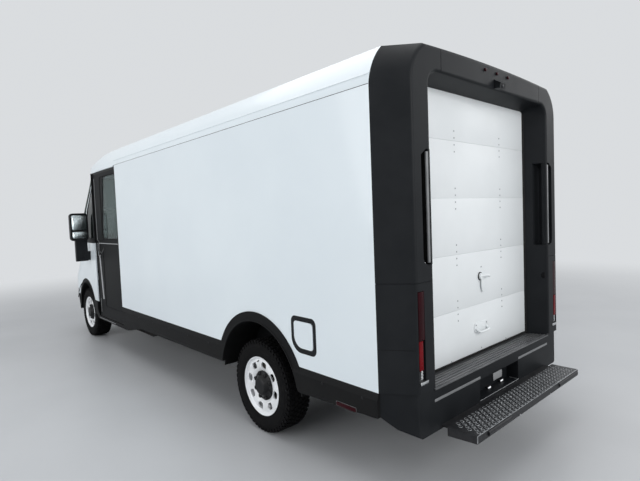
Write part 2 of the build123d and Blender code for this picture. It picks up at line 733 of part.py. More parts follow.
# latch with its lever, and the pull handle below it
latch_z = 1167.0
pull_z = 817.0
with BuildPart() as door_hardware:
    with BuildSketch(Plane.YZ.offset(door_face_x)):
        with Locations((0, latch_z)):
            Circle(48)
        with Locations((0, pull_z)):
            RectangleRounded(190, 74, 12)
    extrude(amount=-6)
    with BuildSketch(Plane.YZ.offset(door_face_x - 6)):
        with Locations((0, latch_z)):
            Circle(30)
    extrude(amount=-16)
    with BuildSketch(Plane.YZ.offset(door_face_x - 16)):
        with Locations((-14, latch_z - 62)):
            RectangleRounded(34, 150, 15)
    extrude(amount=-14)
    with BuildSketch(Plane.YZ.offset(door_face_x - 6)):
        with Locations((-66, pull_z), (66, pull_z)):
            Circle(11)
    extrude(amount=-30)
    with BuildSketch(Plane.YZ.offset(door_face_x - 30)):
        with Locations((0, pull_z)):
            RectangleRounded(156, 26, 12)
    extrude(amount=-16)
export(rollup_door.part + door_hardware.part, "rollup_door")

# ------------------------------------------------ rear bumper and step
bumper_recess = 16.0            # bumper's face inside the portal's
bumper_foot_z = 375.0
bumper_wall = 14.0
bumper_chamfer = 95.0
plate_half = 285.0              # number plate's recess
plate_low_z = 407.0
plate_height = 146.0
plate_depth = 92.0
tread_plate = 8.0               # threshold under the roll-up door
tread_rib = 5.0
threshold_low_z = roll_foot_z - tread_rib - tread_plate - 1
bumper_x = portal_x + bumper_recess
bumper_half = body_half - 12.0
seat_outline = [(portal_x, -opening_half), (door_face_x, -opening_inner_half),
                (door_face_x, opening_inner_half), (portal_x, opening_half)]
with BuildPart() as bumper_rear:
    with BuildSketch(Plane.XY.offset(bumper_foot_z)) as plan:
        with BuildLine():
            Polyline((panel_rear_x, -bumper_half), (panel_rear_x, bumper_half),
                     (bumper_x, portal_face_half - 10),
                     (bumper_x, 10 - portal_face_half), close=True)
        make_face()
        fillet(plan.vertices().group_by(Axis.X)[0], crease_round)
    extrude(amount=sill_z - bumper_foot_z)
    with BuildSketch(Plane.YZ.offset(portal_x)):
        with BuildLine():
            Polyline((-bumper_half, sill_z), (bumper_half, sill_z),
                     (bumper_half, bumper_foot_z + bumper_chamfer),
                     (bumper_half - 1.7 * bumper_chamfer, bumper_foot_z),
                     (1.7 * bumper_chamfer - bumper_half, bumper_foot_z),
                     (-bumper_half, bumper_foot_z + bumper_chamfer), close=True)
        make_face()
    extrude(amount=portal_depth, mode=Mode.INTERSECT)
    # open towards the chassis
    add(block((bumper_x + 2.4 * bumper_wall, 80 - portal_face_half, bumper_foot_z - 10),
              (panel_rear_x + 10, portal_face_half - 80, threshold_low_z - bumper_wall)),
        mode=Mode.SUBTRACT)
    # lower edge rising towards the wheels
    with BuildSketch(Plane.XZ):
        with BuildLine():
            Polyline((bumper_x + 20, bumper_foot_z - 10), (panel_rear_x + 10, bumper_foot_z - 10),
                     (panel_rear_x + 10, bumper_foot_z + 138), close=True)
        make_face()
    extrude(amount=1.2 * body_half, both=True, mode=Mode.SUBTRACT)
    # number plate's recess and the seat of the threshold
    recess_wall = bumper_x + plate_depth
    add(block((bumper_x + bumper_wall, -plate_half - bumper_wall, plate_low_z - bumper_wall),
              (recess_wall + bumper_wall, plate_half + bumper_wall,
               plate_low_z + plate_height + bumper_wall)))
    add(block((bumper_x - 10, -plate_half, plate_low_z),
              (recess_wall, plate_half, plate_low_z + plate_height)), mode=Mode.SUBTRACT)
    with BuildSketch(Plane.XY.offset(threshold_low_z)):
        with BuildLine():
            Polyline(*seat_outline, close=True)
        make_face()
    extrude(amount=sill_z + 10 - threshold_low_z, mode=Mode.SUBTRACT)
    add(block((door_face_x - 1, -roll_half, threshold_low_z), (panel_rear_x + 10, roll_half,
                                                               sill_z + 10)),
        mode=Mode.SUBTRACT)
export(bumper_rear.part, "bumper_rear")

rib_pitch = 26.0
rib_count = int((door_reveal - 30) / rib_pitch)
with BuildPart() as threshold:
    with BuildSketch(Plane.XY.offset(threshold_low_z)):
        with BuildLine():
            Polyline((portal_x + 6, 3 - opening_half), (door_face_x, 3 - opening_inner_half),
                     (panel_rear_x, 3 - opening_inner_half), (panel_rear_x, opening_inner_half - 3),
                     (door_face_x, opening_inner_half - 3), (portal_x + 6, opening_half - 3), close=True)
        make_face()
    extrude(amount=tread_plate)
    rib_z = threshold_low_z + tread_plate
    for i in range(rib_count):
        depth = 26 + i * rib_pitch
        rib_half = opening_half - opening_draft * depth / door_reveal - 15
        with Locations((portal_x + depth, 0, rib_z)):
            Box(10, 2 * rib_half, 2 * tread_rib)
export(threshold.part, "threshold")

# step: nosing tube, tread plate with turned-down edges, end plates, brackets
nosing_radius = 15.0            # grips on the step's lip
nosing_back = 11.0              # lip behind the grips
step_plate = 5.0
step_skirt = 46.0
step_end = 6.0
grips = [(361.0, 652.0), (-749.0, -396.0)]
bracket_y = 520.0
bracket_half = 36.0
step_front_x = step_x + step_depth
nosing_x = step_x + nosing_radius
lip_x = step_x + nosing_back
with BuildPart() as rear_step:
    add(block((lip_x, -step_half, step_z - step_skirt), (lip_x + step_plate, step_half, step_z)))
    add(block((lip_x, -step_half, step_z - step_plate), (step_front_x, step_half, step_z)))
    add(block((step_front_x - step_plate, -step_half, step_z - step_skirt),
              (step_front_x, step_half, step_z)))
    # ledge below the tread, up to the bumper
    add(block((step_front_x - step_plate, -step_half + 16, step_z - 22),
              (bumper_x, step_half - 16, step_z - 16)))
    for y0, y1 in grips:
        add(cross_rod(nosing_x, step_z - step_skirt / 2, nosing_radius, y0, y1))
    for side in sides.values():
        add(side_plate([(lip_x, step_z), (step_front_x, step_z),
                        (step_front_x, step_z - step_skirt - 14), (lip_x, step_z - step_skirt)],
                       step_half - step_end, step_half, side))
        add(side_plate([(lip_x + 1, step_z - step_skirt), (lip_x + 1, step_z - step_plate),
                        (bumper_x, step_z - 16), (bumper_x, step_z - 38),
                        (step_front_x, step_z - step_skirt - 22)],
                       bracket_y - bracket_half, bracket_y + bracket_half, side))
export(rear_step.part, "rear_step")

# ------------------------------------------------------- floor and walls
entry_half = 755.0              # cab floor beside the entry steps
toe_half = front_housing_inner - 3.0
cab_floor_front = front_axle_x + 411.0
riser = 12.0
entry_outer = body_half - 46.0
entry_front_x = fender_x - 10.0
with BuildPart() as floor:
    add(block((panel_rear_x, -liner_inner, rail_top_z), (panel_front_x, liner_inner, floor_z)))
    for side in sides.values():
        add(side_disc(rear_axle_x, arch_radius + liner_skin + 1, housing_inner - 1, body_half, side),
            mode=Mode.SUBTRACT)
    add(block((panel_front_x - 1, -entry_half, rail_top_z), (fender_x + 100, entry_half, floor_z)))
    add(block((fender_x + 99, -toe_half, rail_top_z), (cab_floor_front, toe_half, floor_z)))
    for side in sides.values():
        add(mirrored_block((panel_front_x, entry_half - riser, tread_z - 20),
                           (entry_front_x, entry_outer, tread_z),
                           side))
        add(mirrored_block((panel_front_x, entry_half - riser, tread_z - 20),
                           (entry_front_x, entry_half, rail_top_z + 5), side))
export(floor.part, "floor")

bulkhead_skin = 25.0
leaf_half = 330.0
with BuildPart() as bulkhead:
    add(block((panel_front_x, -liner_inner, floor_z), (panel_front_x + bulkhead_skin, liner_inner,
                                                       glass_top_z)))
    add(block((panel_front_x + bulkhead_skin - 1, -leaf_half, floor_z + 20),
              (panel_front_x + bulkhead_skin + 12, leaf_half, glass_top_z - 240)))
    # rails and pull of its door
    add(block((panel_front_x + bulkhead_skin - 1, -leaf_half - 20, glass_top_z - 230),
              (panel_front_x + bulkhead_skin + 20, 3 * leaf_half - 240, glass_top_z - 190)))
    add(block((panel_front_x + bulkhead_skin + 11, -leaf_half + 30, belt_z - 260),
              (panel_front_x + bulkhead_skin + 30, -leaf_half + 55, belt_z - 60)))
export(bulkhead.part, "bulkhead")

# -------------------------------------------------------------- interior
seat_y = 450.0
seat_x = panel_front_x + 686.0  # middle of the cushion
seat_z = floor_z + 370.0        # top of the cushion
seat_half = 240.0
dash_rear_x = fender_x + 566.0
dash_lip_z = belt_z - 230.0
dash_top_z = belt_z - 40.0
dash_back_x = nose_x - 265.0
dash_face = [(dash_rear_x + 80, belt_z - 490), (dash_rear_x, dash_lip_z),
             (dash_rear_x + 110, dash_top_z)]
with BuildPart() as dashboard:
    add(cab_body(cab_rows, cab_skin))
    with BuildSketch(Plane.XZ):
        with BuildLine():
            Polyline(*dash_face, (dash_back_x, belt_z - 10), (dash_back_x, belt_z - 490), close=True)
        make_face()
    extrude(amount=1.2 * body_half, both=True, mode=Mode.INTERSECT)
    add(band_blank, mode=Mode.SUBTRACT)
    # instrument hood, centre screen and glove box
    add(block((dash_rear_x + 118, seat_y - 170, dash_top_z - 20),
              (dash_rear_x + 250, seat_y + 170, dash_top_z + 46), 30))
    add(block((dash_rear_x + 74, -20, dash_lip_z + 70), (dash_rear_x + 140, 230, dash_top_z + 60), 10))
    add(block((dash_rear_x + 60, -760, dash_lip_z - 130), (dash_rear_x + 110, -250, dash_lip_z + 20),
              10))
export(dashboard.part, "dashboard")

with BuildPart() as driver_seat:
    add(block((seat_x - 195, seat_y - 200, floor_z), (seat_x + 195, seat_y + 200, seat_z - 150), 20))
    with BuildSketch(Plane.XZ.offset(-(seat_y - seat_half))):
        with BuildLine():
            Polyline((seat_x - 255, seat_z - 150), (seat_x + 235, seat_z - 150),
                     (seat_x + 255, seat_z - 30),
                     (seat_x + 215, seat_z), (seat_x - 150, seat_z - 15), (seat_x - 285, seat_z + 560),
                     (seat_x - 345, seat_z + 575), (seat_x - 375, seat_z + 545), close=True)
        make_face()
    extrude(amount=-2 * seat_half)
    fillet(driver_seat.edges().filter_by(Axis.Y).filter_by_position(Axis.Z, seat_z - 100, seat_z + 600),
           12)
    with BuildSketch(Plane.XZ.offset(-(seat_y - 130))):
        with BuildLine():
            Polyline((seat_x - 300, seat_z + 600), (seat_x - 305, seat_z + 760),
                     (seat_x - 350, seat_z + 790),
                     (seat_x - 395, seat_z + 760), (seat_x - 385, seat_z + 600), close=True)
        make_face()
    extrude(amount=-260)
    with Locations(*[(seat_x - 343, seat_y + y, seat_z + 585) for y in (-70, 70)]):
        Cylinder(7, 60)
export(driver_seat.part, "driver_seat")

# steering wheel with its column, ending just short of the dashboard
wheel_radius = 184.0
wheel_grip = 16.0
steer_tilt = 30.0
wheel_x = dash_rear_x - 180.0
wheel_z = belt_z - 120.0
column_radius = 30.0
wheel_out = (-cos(radians(steer_tilt)), 0, sin(radians(steer_tilt)))
wheel_in = tuple(-v for v in wheel_out)
face_run = dash_face[2][0] - dash_face[1][0]
face_rise = dash_face[2][1] - dash_face[1][1]
# along the column to the sloping face of the dashboard
lean = (dash_face[1][0] - wheel_x) * face_rise - (dash_face[1][1] - wheel_z) * face_run
column_end = lean / (wheel_in[0] * face_rise - wheel_in[2] * face_run)
wheel_plane = Plane(origin=(wheel_x, seat_y, wheel_z), x_dir=(0, 1, 0), z_dir=wheel_out)
with BuildPart() as steering_wheel:
    with BuildSketch(Plane(origin=wheel_plane.origin, x_dir=(0, 1, 0), z_dir=wheel_plane.y_dir)):
        with Locations((wheel_radius, 0)):
            Circle(wheel_grip)
    revolve(axis=Axis(wheel_plane.origin, wheel_out))
    with BuildSketch(wheel_plane):
        Rectangle(2 * wheel_radius, 40)
        with Locations((0, -wheel_radius / 2)):
            Rectangle(36, wheel_radius)
        Circle(62)
    extrude(amount=10, both=True)
    with BuildSketch(wheel_plane):
        Circle(52)
    extrude(amount=24, taper=14)
    with BuildSketch(wheel_plane):
        Circle(column_radius)
    extrude(amount=-(column_end - fit_gap))
export(steering_wheel.part, "steering_wheel")

# --------------------------------------------------------------- chassis
rail_wall = 10.0
rail_front_x = front_axle_x + 711.0
beam_half = 40.0
outrigger_half = 35.0
channel = [(0, 0), (rail_width, 0), (rail_width, rail_wall), (rail_wall, rail_wall),
           (rail_wall, rail_height - rail_wall), (rail_width, rail_height - rail_wall), (rail_width,
                                                                                         rail_height),
           (0, rail_height)]
cross_beams = [panel_rear_x + 80, rear_axle_x - 550, rear_axle_x + 500, front_axle_x - 1190,
               front_axle_x - 490,
               rail_front_x - 150]
outriggers = [panel_rear_x + 120, rear_axle_x + 651, rear_axle_x + 1651, rear_axle_x + 2651]
with BuildPart() as chassis_frame:
    for side in sides.values():
        with BuildSketch(Plane.YZ.offset(panel_rear_x)):
            with BuildLine():
                Polyline(*[(side * (rail_inner + y), rail_low_z + z) for y, z in channel], close=True)
            make_face()
        extrude(amount=rail_front_x - panel_rear_x)
    for x in cross_beams:
        add(block((x - beam_half, -rail_inner - 5, rail_low_z + 20),
                  (x + beam_half, rail_inner + 5, rail_top_z - 20)))
        add(block((x - beam_half + rail_wall, -rail_inner + rail_wall, rail_low_z + 10),
                  (x + beam_half - rail_wall, rail_inner - rail_wall,
                   rail_top_z - 30)), mode=Mode.SUBTRACT)
    for x, half in [(x, liner_inner) for x in outriggers] + [(fender_x - 354, entry_half - riser)]:
        add(block((x - outrigger_half, -half, rail_top_z - 40),
                  (x + outrigger_half, -rail_outer + 5, rail_top_z)))
        add(block((x - outrigger_half, rail_outer - 5, rail_top_z - 40),
                  (x + outrigger_half, half, rail_top_z)))
export(chassis_frame.part, "chassis_frame")

# battery case with a lid flange and ribbed sides, under the rails
battery_foot_z = 225.0
battery_rear_x = rear_axle_x + 651.0
battery_front_x = fender_x - 174.0
battery_flange = 18.0
rib_step = 190.0
rib_total = int((battery_front_x - battery_rear_x - 120) / rib_step) + 1
with BuildPart() as battery:
    add(block((battery_rear_x, -battery_half, battery_foot_z),
              (battery_front_x, battery_half, rail_low_z), 40))
    add(block((battery_rear_x - battery_flange, -battery_half - battery_flange, rail_low_z - 96),
              (battery_front_x + battery_flange, battery_half + battery_flange, rail_low_z - 84), 40))
    for side in sides.values():
        with Locations(*[(battery_rear_x + 70 + i * rib_step, side * battery_half, battery_foot_z + 52)
                         for i in range(rib_total)]):
            Box(24, 20, 76)
export(battery.part, "battery")

# ------------------------------------------------------------------ axles
axle_radius = 50.0
disc_radius = 150.0
spring_y = rail_outer + 110.0   # inner edge of the leaf springs
spring_width = 60.0
spring_rear = 520.0
spring_front = 560.0
drive_half = 230.0
leaf = 11.0
spring_z = tyre_radius + axle_radius + 2
with BuildPart() as rear_axle:
    add(cross_rod(rear_axle_x, tyre_radius, axle_radius, -(rear_track_half - 15), rear_track_half - 15))
    add(cross_rod(rear_axle_x, tyre_radius, disc_radius, -drive_half, drive_half))
    add(cross_rod(rear_axle_x + 190, tyre_radius + 10, disc_radius - 40, -drive_half + 60,
                  drive_half + 60))
    for y in (-190, -95, 0, 95, 190):
        add(cross_rod(rear_axle_x, tyre_radius, disc_radius + 14, y - 6, y + 6))
    for side in sides.values():
        add(side_disc(rear_axle_x, flange_radius, rear_track_half - 20,
                      rear_track_half + mount_face - fit_gap, side))
        add(side_disc(rear_axle_x, disc_radius, rear_track_half - 70, rear_track_half - 44, side))
        add(side_disc(rear_axle_x, axle_radius + 30, rear_track_half - 46, rear_track_half - 18, side))
        # leaf spring: three leaves with their eyes, a clamp and two hangers
        for i, run in enumerate((1.0, 0.72, 0.44)):
            low = spring_z - i * leaf
            tail, nose = rear_axle_x - run * spring_rear, rear_axle_x + run * spring_front
            bow = 26.0 * run
            add(side_plate([(tail, low + bow), (rear_axle_x, low), (nose, low + bow),
                            (nose, low + bow + leaf),
                            (rear_axle_x, low + leaf + 0.5), (tail, low + bow + leaf)],
                           spring_y, spring_y + spring_width, side))
        add(mirrored_block((rear_axle_x - 60, spring_y - 14, tyre_radius - 66),
                           (rear_axle_x + 60, spring_y + spring_width + 14, spring_z + leaf + 8), side))
        for x in (rear_axle_x - spring_rear, rear_axle_x + spring_front):
            add(cross_rod(x, spring_z + 34, 26, side * (spring_y - 6),
                          side * (spring_y + spring_width + 6)))
            add(mirrored_block((x - 26, rail_outer, spring_z + 20),
                               (x + 26, spring_y + 4, rail_top_z - 42), side))
        # damper from the beam up to the rail
        add(mirrored_block((rear_axle_x - 150, rail_outer, rail_top_z - 80),
                           (rear_axle_x - 90, rail_outer + 60, rail_top_z - 42), side))
        add(side_plate([(rear_axle_x - 142, rail_top_z - 60), (rear_axle_x - 98, rail_top_z - 60),
                        (rear_axle_x - 20, tyre_radius), (rear_axle_x - 50, tyre_radius - 20)],
                       rail_outer + 8, rail_outer + 50, side))
export(rear_axle.part, "rear_axle")

kingpin_y = front_track_half - kingpin_inset
kingpin_radius = 28.0
arm_low_z = tyre_radius - 157.0
arm_top_z = tyre_radius + 138.0
arm_thick = 20.0
arm_end = 24.0
arm_foot = 130.0
with BuildPart() as front_suspension:
    add(block((front_axle_x - 200, -rail_outer, rail_low_z - 200),
              (front_axle_x + 200, rail_outer, rail_low_z), 30))
    add(block((front_axle_x - 240, -rail_outer + 80, rail_low_z - 120),
              (front_axle_x + 240, rail_outer - 80, rail_low_z - 30), 20))
    add(block((front_axle_x - 60, -rail_outer, arm_low_z - 15),
              (front_axle_x + 60, rail_outer, rail_low_z - 190)))
    for side in sides.values():
        for low, foot in ((arm_low_z, arm_foot), (arm_top_z, arm_end)):
            with BuildSketch(Plane.XY.offset(low)):
                with BuildLine():
                    Polyline((front_axle_x - foot, side * (rail_outer - 10)),
                             (front_axle_x - arm_end, side * (kingpin_y - 90)),
                             (front_axle_x - arm_end, side * (kingpin_y + 25)),
                             (front_axle_x + arm_end, side * (kingpin_y + 25)),
                             (front_axle_x + arm_end, side * (kingpin_y - 90)),
                             (front_axle_x + foot, side * (rail_outer - 10)), close=True)
                make_face()
            extrude(amount=arm_thick)
        # spring and damper tower on the rail
        add(mirrored_block((front_axle_x - 60, rail_outer, rail_low_z),
                           (front_axle_x + 60, rail_outer + 40, rail_top_z), side))
    add(cross_rod(front_axle_x - 150, arm_low_z + 70, 22, -rail_outer - 60, rail_outer + 60))
export(front_suspension.part, "front_suspension")

for tag, side in sides.items():
    pin_low = arm_low_z + arm_thick + fit_gap
    with BuildPart() as knuckle:
        with Locations((front_axle_x, side * kingpin_y, (pin_low + arm_top_z - fit_gap) / 2)):
            Cylinder(kingpin_radius, arm_top_z - fit_gap - pin_low)
        add(cross_rod(front_axle_x, tyre_radius, axle_radius + 6, side * kingpin_y,
                      side * (front_track_half - 15)))
        add(side_disc(front_axle_x, flange_radius, front_track_half - 20,
                      front_track_half + mount_face - fit_gap, side))
        add(side_disc(front_axle_x, disc_radius - 20, front_track_half - 62, front_track_half - 40,
                      side))
        add(mirrored_block((front_axle_x - 138, front_track_half - 76, tyre_radius - 46),
                           (front_axle_x - 70, front_track_half - 26, tyre_radius + 46), side))
        add(mirrored_block((front_axle_x - 75, front_track_half - 76, tyre_radius - 30),
                           (front_axle_x - 10, front_track_half - 62, tyre_radius + 30), side))
    export(knuckle.part, f"knuckle_f{tag}")

# ----------------------------------------------------------------- wheels
# outlines: distance out of the wheel's middle, then radius
shoulder = tyre_half - 24
groove_depth = 9.0
rim_outline = [
    (104, rim_radius), (94, rim_radius), (92, 214), (62, 206), (24, 186), (-70, 190), (-94, 212), (-96, 234),
    (-104, 234), (-102, 206), (-72, 182), (22, 178), (44, 178), (46, 170), (56, 148), (56, 112), (34, 95),
    (34, 60), (44, 60), (44, 88), (66, 105), (66, 150), (58, 172), (66, 194), (98, 206),
]
cap_outline = [
    (34, 0), (34, 60), (44, 60), (44, 88), (66, 105), (66, cap_radius), (78, cap_radius - 2), (88, 90),
    (112, 68), (118, 58), (118, 40), (114, 34), (114, 0),
]
tyre_outline = [
    (-92, 212), (-94, 234), (-104, rim_radius), (-tyre_half + 4, 262), (-tyre_half, 305),
    (-tyre_half + 4, tyre_radius - 26), (-shoulder, tyre_radius - 3),
]
for y in (-52, 0, 52):
    tyre_outline += [(y - 9, tyre_radius), (y - 6, tyre_radius - groove_depth)]
    tyre_outline += [(y + 6, tyre_radius - groove_depth), (y + 9, tyre_radius)]
tyre_outline += [
    (shoulder, tyre_radius - 3), (tyre_half - 4, tyre_radius - 26), (tyre_half, 305), (tyre_half - 4, 262),
    (104, rim_radius), (94, rim_radius), (92, 214), (62, 206), (24, 186), (-70, 190),
]
hole_circle = 146.0
nut_circle = 103.0
corners = {
    "fl": (front_axle_x, front_track_half, 1),
    "fr": (front_axle_x, -front_track_half, -1),
    "rl": (rear_axle_x, rear_track_half, 1),
    "rr": (rear_axle_x, -rear_track_half, -1),
}
for tag, (x, y, side) in corners.items():
    centre = (x, y, tyre_radius)
    export(turned(tyre_outline, centre, side), f"tyre_{tag}")
    with BuildPart() as rim:
        add(turned(rim_outline, centre, side))
        with BuildSketch(Plane.XZ.offset(-y - side * 30)):
            with Locations((x, tyre_radius)):
                with PolarLocations(hole_circle, hand_holes):
                    RectangleRounded(38, 56, 17)
        extrude(amount=-side * 60, mode=Mode.SUBTRACT)
    export(rim.part, f"rim_{tag}")
    with BuildPart() as hub_cap:
        add(turned(cap_outline, centre, side))
        with BuildSketch(Plane.XZ.offset(-y - side * 70)):
            with Locations((x, tyre_radius)):
                with PolarLocations(nut_circle, hand_holes, start_angle=180 / hand_holes):
                    RegularPolygon(12, 6)
        extrude(amount=-side * 24)
    export(hub_cap.part, f"hub_cap_{tag}")

# ------------------------------------------------------------- side doors
window_corner = 60.0
window_mid = (panel_front_x + window_rear - door_lap + window_length / 2,
              (window_low_z + window_top_z) / 2)
window_height = window_top_z - window_low_z
door_outline = [(panel_front_x - door_lap, door_foot_z), (fender_x - body_gap, door_foot_z),
                (fender_x - body_gap, door_head_z), (panel_front_x - door_lap, door_head_z)]
keypad_x = fender_x - 115.0
rail_strip = 4.0


def side_slab(mid, width, height, corner, inner, outer, side):
    """Rounded slab in the side's plane, between two distances from the middle."""
    with BuildPart() as piece:
        with BuildSketch(Plane.XZ.offset(-side * inner)):
            with Locations(mid):
                RectangleRounded(width, height, corner)
        extrude(amount=-side * (outer - inner))
    return piece.part


def window_slab(inner, outer, side):
    """Door window's outline as a slab, its front edge leaning back."""
    rear_x, front_x = window_mid[0] - window_length / 2, window_mid[0] + window_length / 2
    with BuildPart() as piece:
        with BuildSketch(Plane.XZ.offset(-side * inner)) as sk:
            with BuildLine():
                Polyline((rear_x, window_low_z), (front_x, window_low_z),
                         (front_x - window_rake, window_top_z), (rear_x, window_top_z), close=True)
            make_face()
            fillet(sk.vertices(), window_corner)
        extrude(amount=-side * (outer - inner))
    return piece.part


for tag, side in sides.items():
    with BuildPart() as door:
        add(side_plate(door_outline, door_outer - door_thickness, door_outer, side))
        add(window_slab(door_outer - 60, door_outer + 60, side), mode=Mode.SUBTRACT)
        # sunk lower panel, box of the handle and its strip
        add(side_slab((window_mid[0] + 20, (door_foot_z + belt_z) / 2 + 20), window_length + 20,
                      belt_z - door_foot_z - 260, 40, door_outer - 4, door_outer + 20, side),
            mode=Mode.SUBTRACT)
        add(side_slab((keypad_x, belt_z - 60), 76, 210, 16, door_outer - 10, door_outer + body_gap - 1,
                      side))
        add(side_slab((keypad_x, belt_z - 480), 96, 600, 8, door_outer - 10, door_outer + rail_strip,
                      side))
    export(door.part, f"side_door_{tag}")
    export(window_slab(door_outer - 14, door_outer - 6, side), f"door_glass_{tag}")

# tracks over and under the side doors
track_low = 7.7
track_outer = door_outer - 2.0
riser_outer = entry_outer
with BuildPart() as door_tracks:
    for side in sides.values():
        track_rear_x = panel_front_x - door_lap - door_travel
        add(mirrored_block((track_rear_x, liner_outer, door_foot_z - fit_gap - track_low),
                           (entry_front_x, track_outer, door_foot_z - fit_gap), side))
        add(mirrored_block((track_rear_x, liner_outer, door_head_z + fit_gap),
                           (entry_front_x, track_outer, glass_top_z), side))
        add(mirrored_block((panel_front_x, liner_outer, tread_z),
                           (entry_front_x, riser_outer, door_foot_z - 8), side))
export(door_tracks.part, "door_tracks")

# ------------------------------------------------------------ charge door
surround_depth = 40.0
with BuildPart() as charge_surround:
    add(flap_slab(flap_mid, flap_width, flap_height, 0.0, panel_inner - surround_depth, body_half))
    add(flap_slab(flap_mid, flap_width - 2 * flap_ring, flap_height - 2 * flap_ring, 15.0,
                  panel_inner - surround_depth + 10, body_half + 60), mode=Mode.SUBTRACT)
    # charging socket
    socket_y = panel_inner - surround_depth + 8
    with BuildSketch(Plane.XZ.offset(-socket_y)):
        with Locations(flap_mid):
            SlotOverall(118, 62, rotation=90)
    extrude(amount=-20)
    with BuildSketch(Plane.XZ.offset(-(socket_y + 20))):
        with Locations((flap_mid[0], flap_mid[1] + 27)):
            Circle(24)
            Circle(19, mode=Mode.SUBTRACT)
        with Locations((flap_mid[0] - 11, flap_mid[1] - 28), (flap_mid[0] + 11, flap_mid[1] - 28)):
            Circle(8)
            Circle(5, mode=Mode.SUBTRACT)
    extrude(amount=-6)
export(charge_surround.part, "charge_surround")

flap_thick = 6.0
flap_run = flap_width - 2 * flap_ring - body_gap - fit_gap
flap_rise = flap_height - 2 * flap_ring - 2 * body_gap
export(flap_slab((flap_mid[0] + (body_gap - fit_gap) / 2, flap_mid[1]), flap_run, flap_rise, 19.0,
                 body_half - flap_thick, body_half), "charge_flap")

# ---------------------------------------------------------------- mirrors
head_low_z = belt_z + 40.0
head_height = 400.0
head_inner = body_half - 10.0
head_outer = body_half + 230.0
head_x = fender_x + 346.0
head_depth = 96.0
with BuildPart() as mirrors:
    for side in sides.values():
        add(mirrored_block((head_x - 34, body_half + 11, head_low_z - 302),
                           (head_x + 30, body_half + 168, head_low_z + 10), side))
        add(mirrored_block((head_x - 40, body_half - 80, head_low_z - 292),
                           (head_x + 36, body_half + 80, head_low_z - 160), side))
        with BuildSketch(Plane.YZ.offset(head_x - head_depth / 2)):
            with Locations((side * (head_inner + head_outer) / 2, head_low_z + head_height / 2)):
                RectangleRounded(head_outer - head_inner, head_height, 46)
        with BuildSketch(Plane.YZ.offset(head_x + head_depth / 4)):
            with Locations((side * (head_inner + head_outer) / 2, head_low_z + head_height / 2)):
                RectangleRounded(head_outer - head_inner, head_height, 46)
        with BuildSketch(Plane.YZ.offset(head_x + head_depth / 2)):
            with Locations((side * (head_inner + head_outer) / 2, head_low_z + head_height / 2)):
                RectangleRounded(head_outer - head_inner - 56, head_height - 56, 20)
        loft(ruled=True)
        # recesses of the two glasses
        for mid, height in ((head_low_z + 0.66 * head_height, 0.56),
                            (head_low_z + 0.21 * head_height, 0.26)):
            with BuildSketch(Plane.YZ.offset(head_x - head_depth / 2)):
                with Locations((side * (head_inner + head_outer) / 2, mid)):
                    RectangleRounded(head_outer - head_inner - 34, height * head_height, 28)
            extrude(amount=8, mode=Mode.SUBTRACT)
    add(lower_body, mode=Mode.SUBTRACT)
    add(screen_body, mode=Mode.SUBTRACT)
export(mirrors.part, "mirrors")
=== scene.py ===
# %% [markdown]
# # A walk-in electric delivery van
# The van's frame, panels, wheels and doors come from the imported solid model, already in their places.
# This lesson gives each of them its finish and adds what a solid model leaves out: tyre treads,
# screws, lenses, seals, the driver's seat, springs and the studio round the van.

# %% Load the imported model
import math

import bmesh
import bpy
from mathutils import Matrix, Vector


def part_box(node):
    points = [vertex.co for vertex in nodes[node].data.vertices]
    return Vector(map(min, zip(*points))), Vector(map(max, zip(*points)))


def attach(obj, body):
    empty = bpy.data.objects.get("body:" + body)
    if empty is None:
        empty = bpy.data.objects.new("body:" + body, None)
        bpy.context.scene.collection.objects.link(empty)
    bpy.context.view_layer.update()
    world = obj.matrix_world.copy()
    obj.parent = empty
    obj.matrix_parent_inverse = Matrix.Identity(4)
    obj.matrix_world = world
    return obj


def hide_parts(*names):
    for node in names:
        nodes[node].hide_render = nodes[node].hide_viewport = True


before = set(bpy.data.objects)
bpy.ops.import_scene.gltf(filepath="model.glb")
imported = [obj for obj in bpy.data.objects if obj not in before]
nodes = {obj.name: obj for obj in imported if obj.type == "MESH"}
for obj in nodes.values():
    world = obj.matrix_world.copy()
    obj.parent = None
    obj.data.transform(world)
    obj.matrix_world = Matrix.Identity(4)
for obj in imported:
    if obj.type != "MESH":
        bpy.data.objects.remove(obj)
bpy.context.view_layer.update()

# %% [markdown]
# ## Places
# Many later steps measure from the solid model, so those pieces sit right even if a size changes.
# `span` gives a node's lowest and highest corner, and `probe` sends a ray at a node and returns
# where it lands, which is how small parts are set on the cab's curved faces.

# %% Read the main places
def span(node):
    low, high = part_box(node)
    return Vector(low), Vector(high)


def probe(node, start, ahead):
    """Point and outward normal where a ray first meets a node."""
    hit, point, normal, _ = nodes[node].ray_cast(Vector(start), Vector(ahead).normalized())
    if not hit:
        raise ValueError("the ray misses " + node)
    if normal.dot(Vector(ahead)) > 0:
        normal = -normal
    return point, normal


def baked(obj):
    """Plain mesh of an object with its modifiers applied."""
    return bpy.data.meshes.new_from_object(obj.evaluated_get(bpy.context.evaluated_depsgraph_get()))


def node_of(tree, kind):
    """The first shader node of a kind in a tree."""
    return next(node for node in tree.nodes if node.bl_idname == kind)


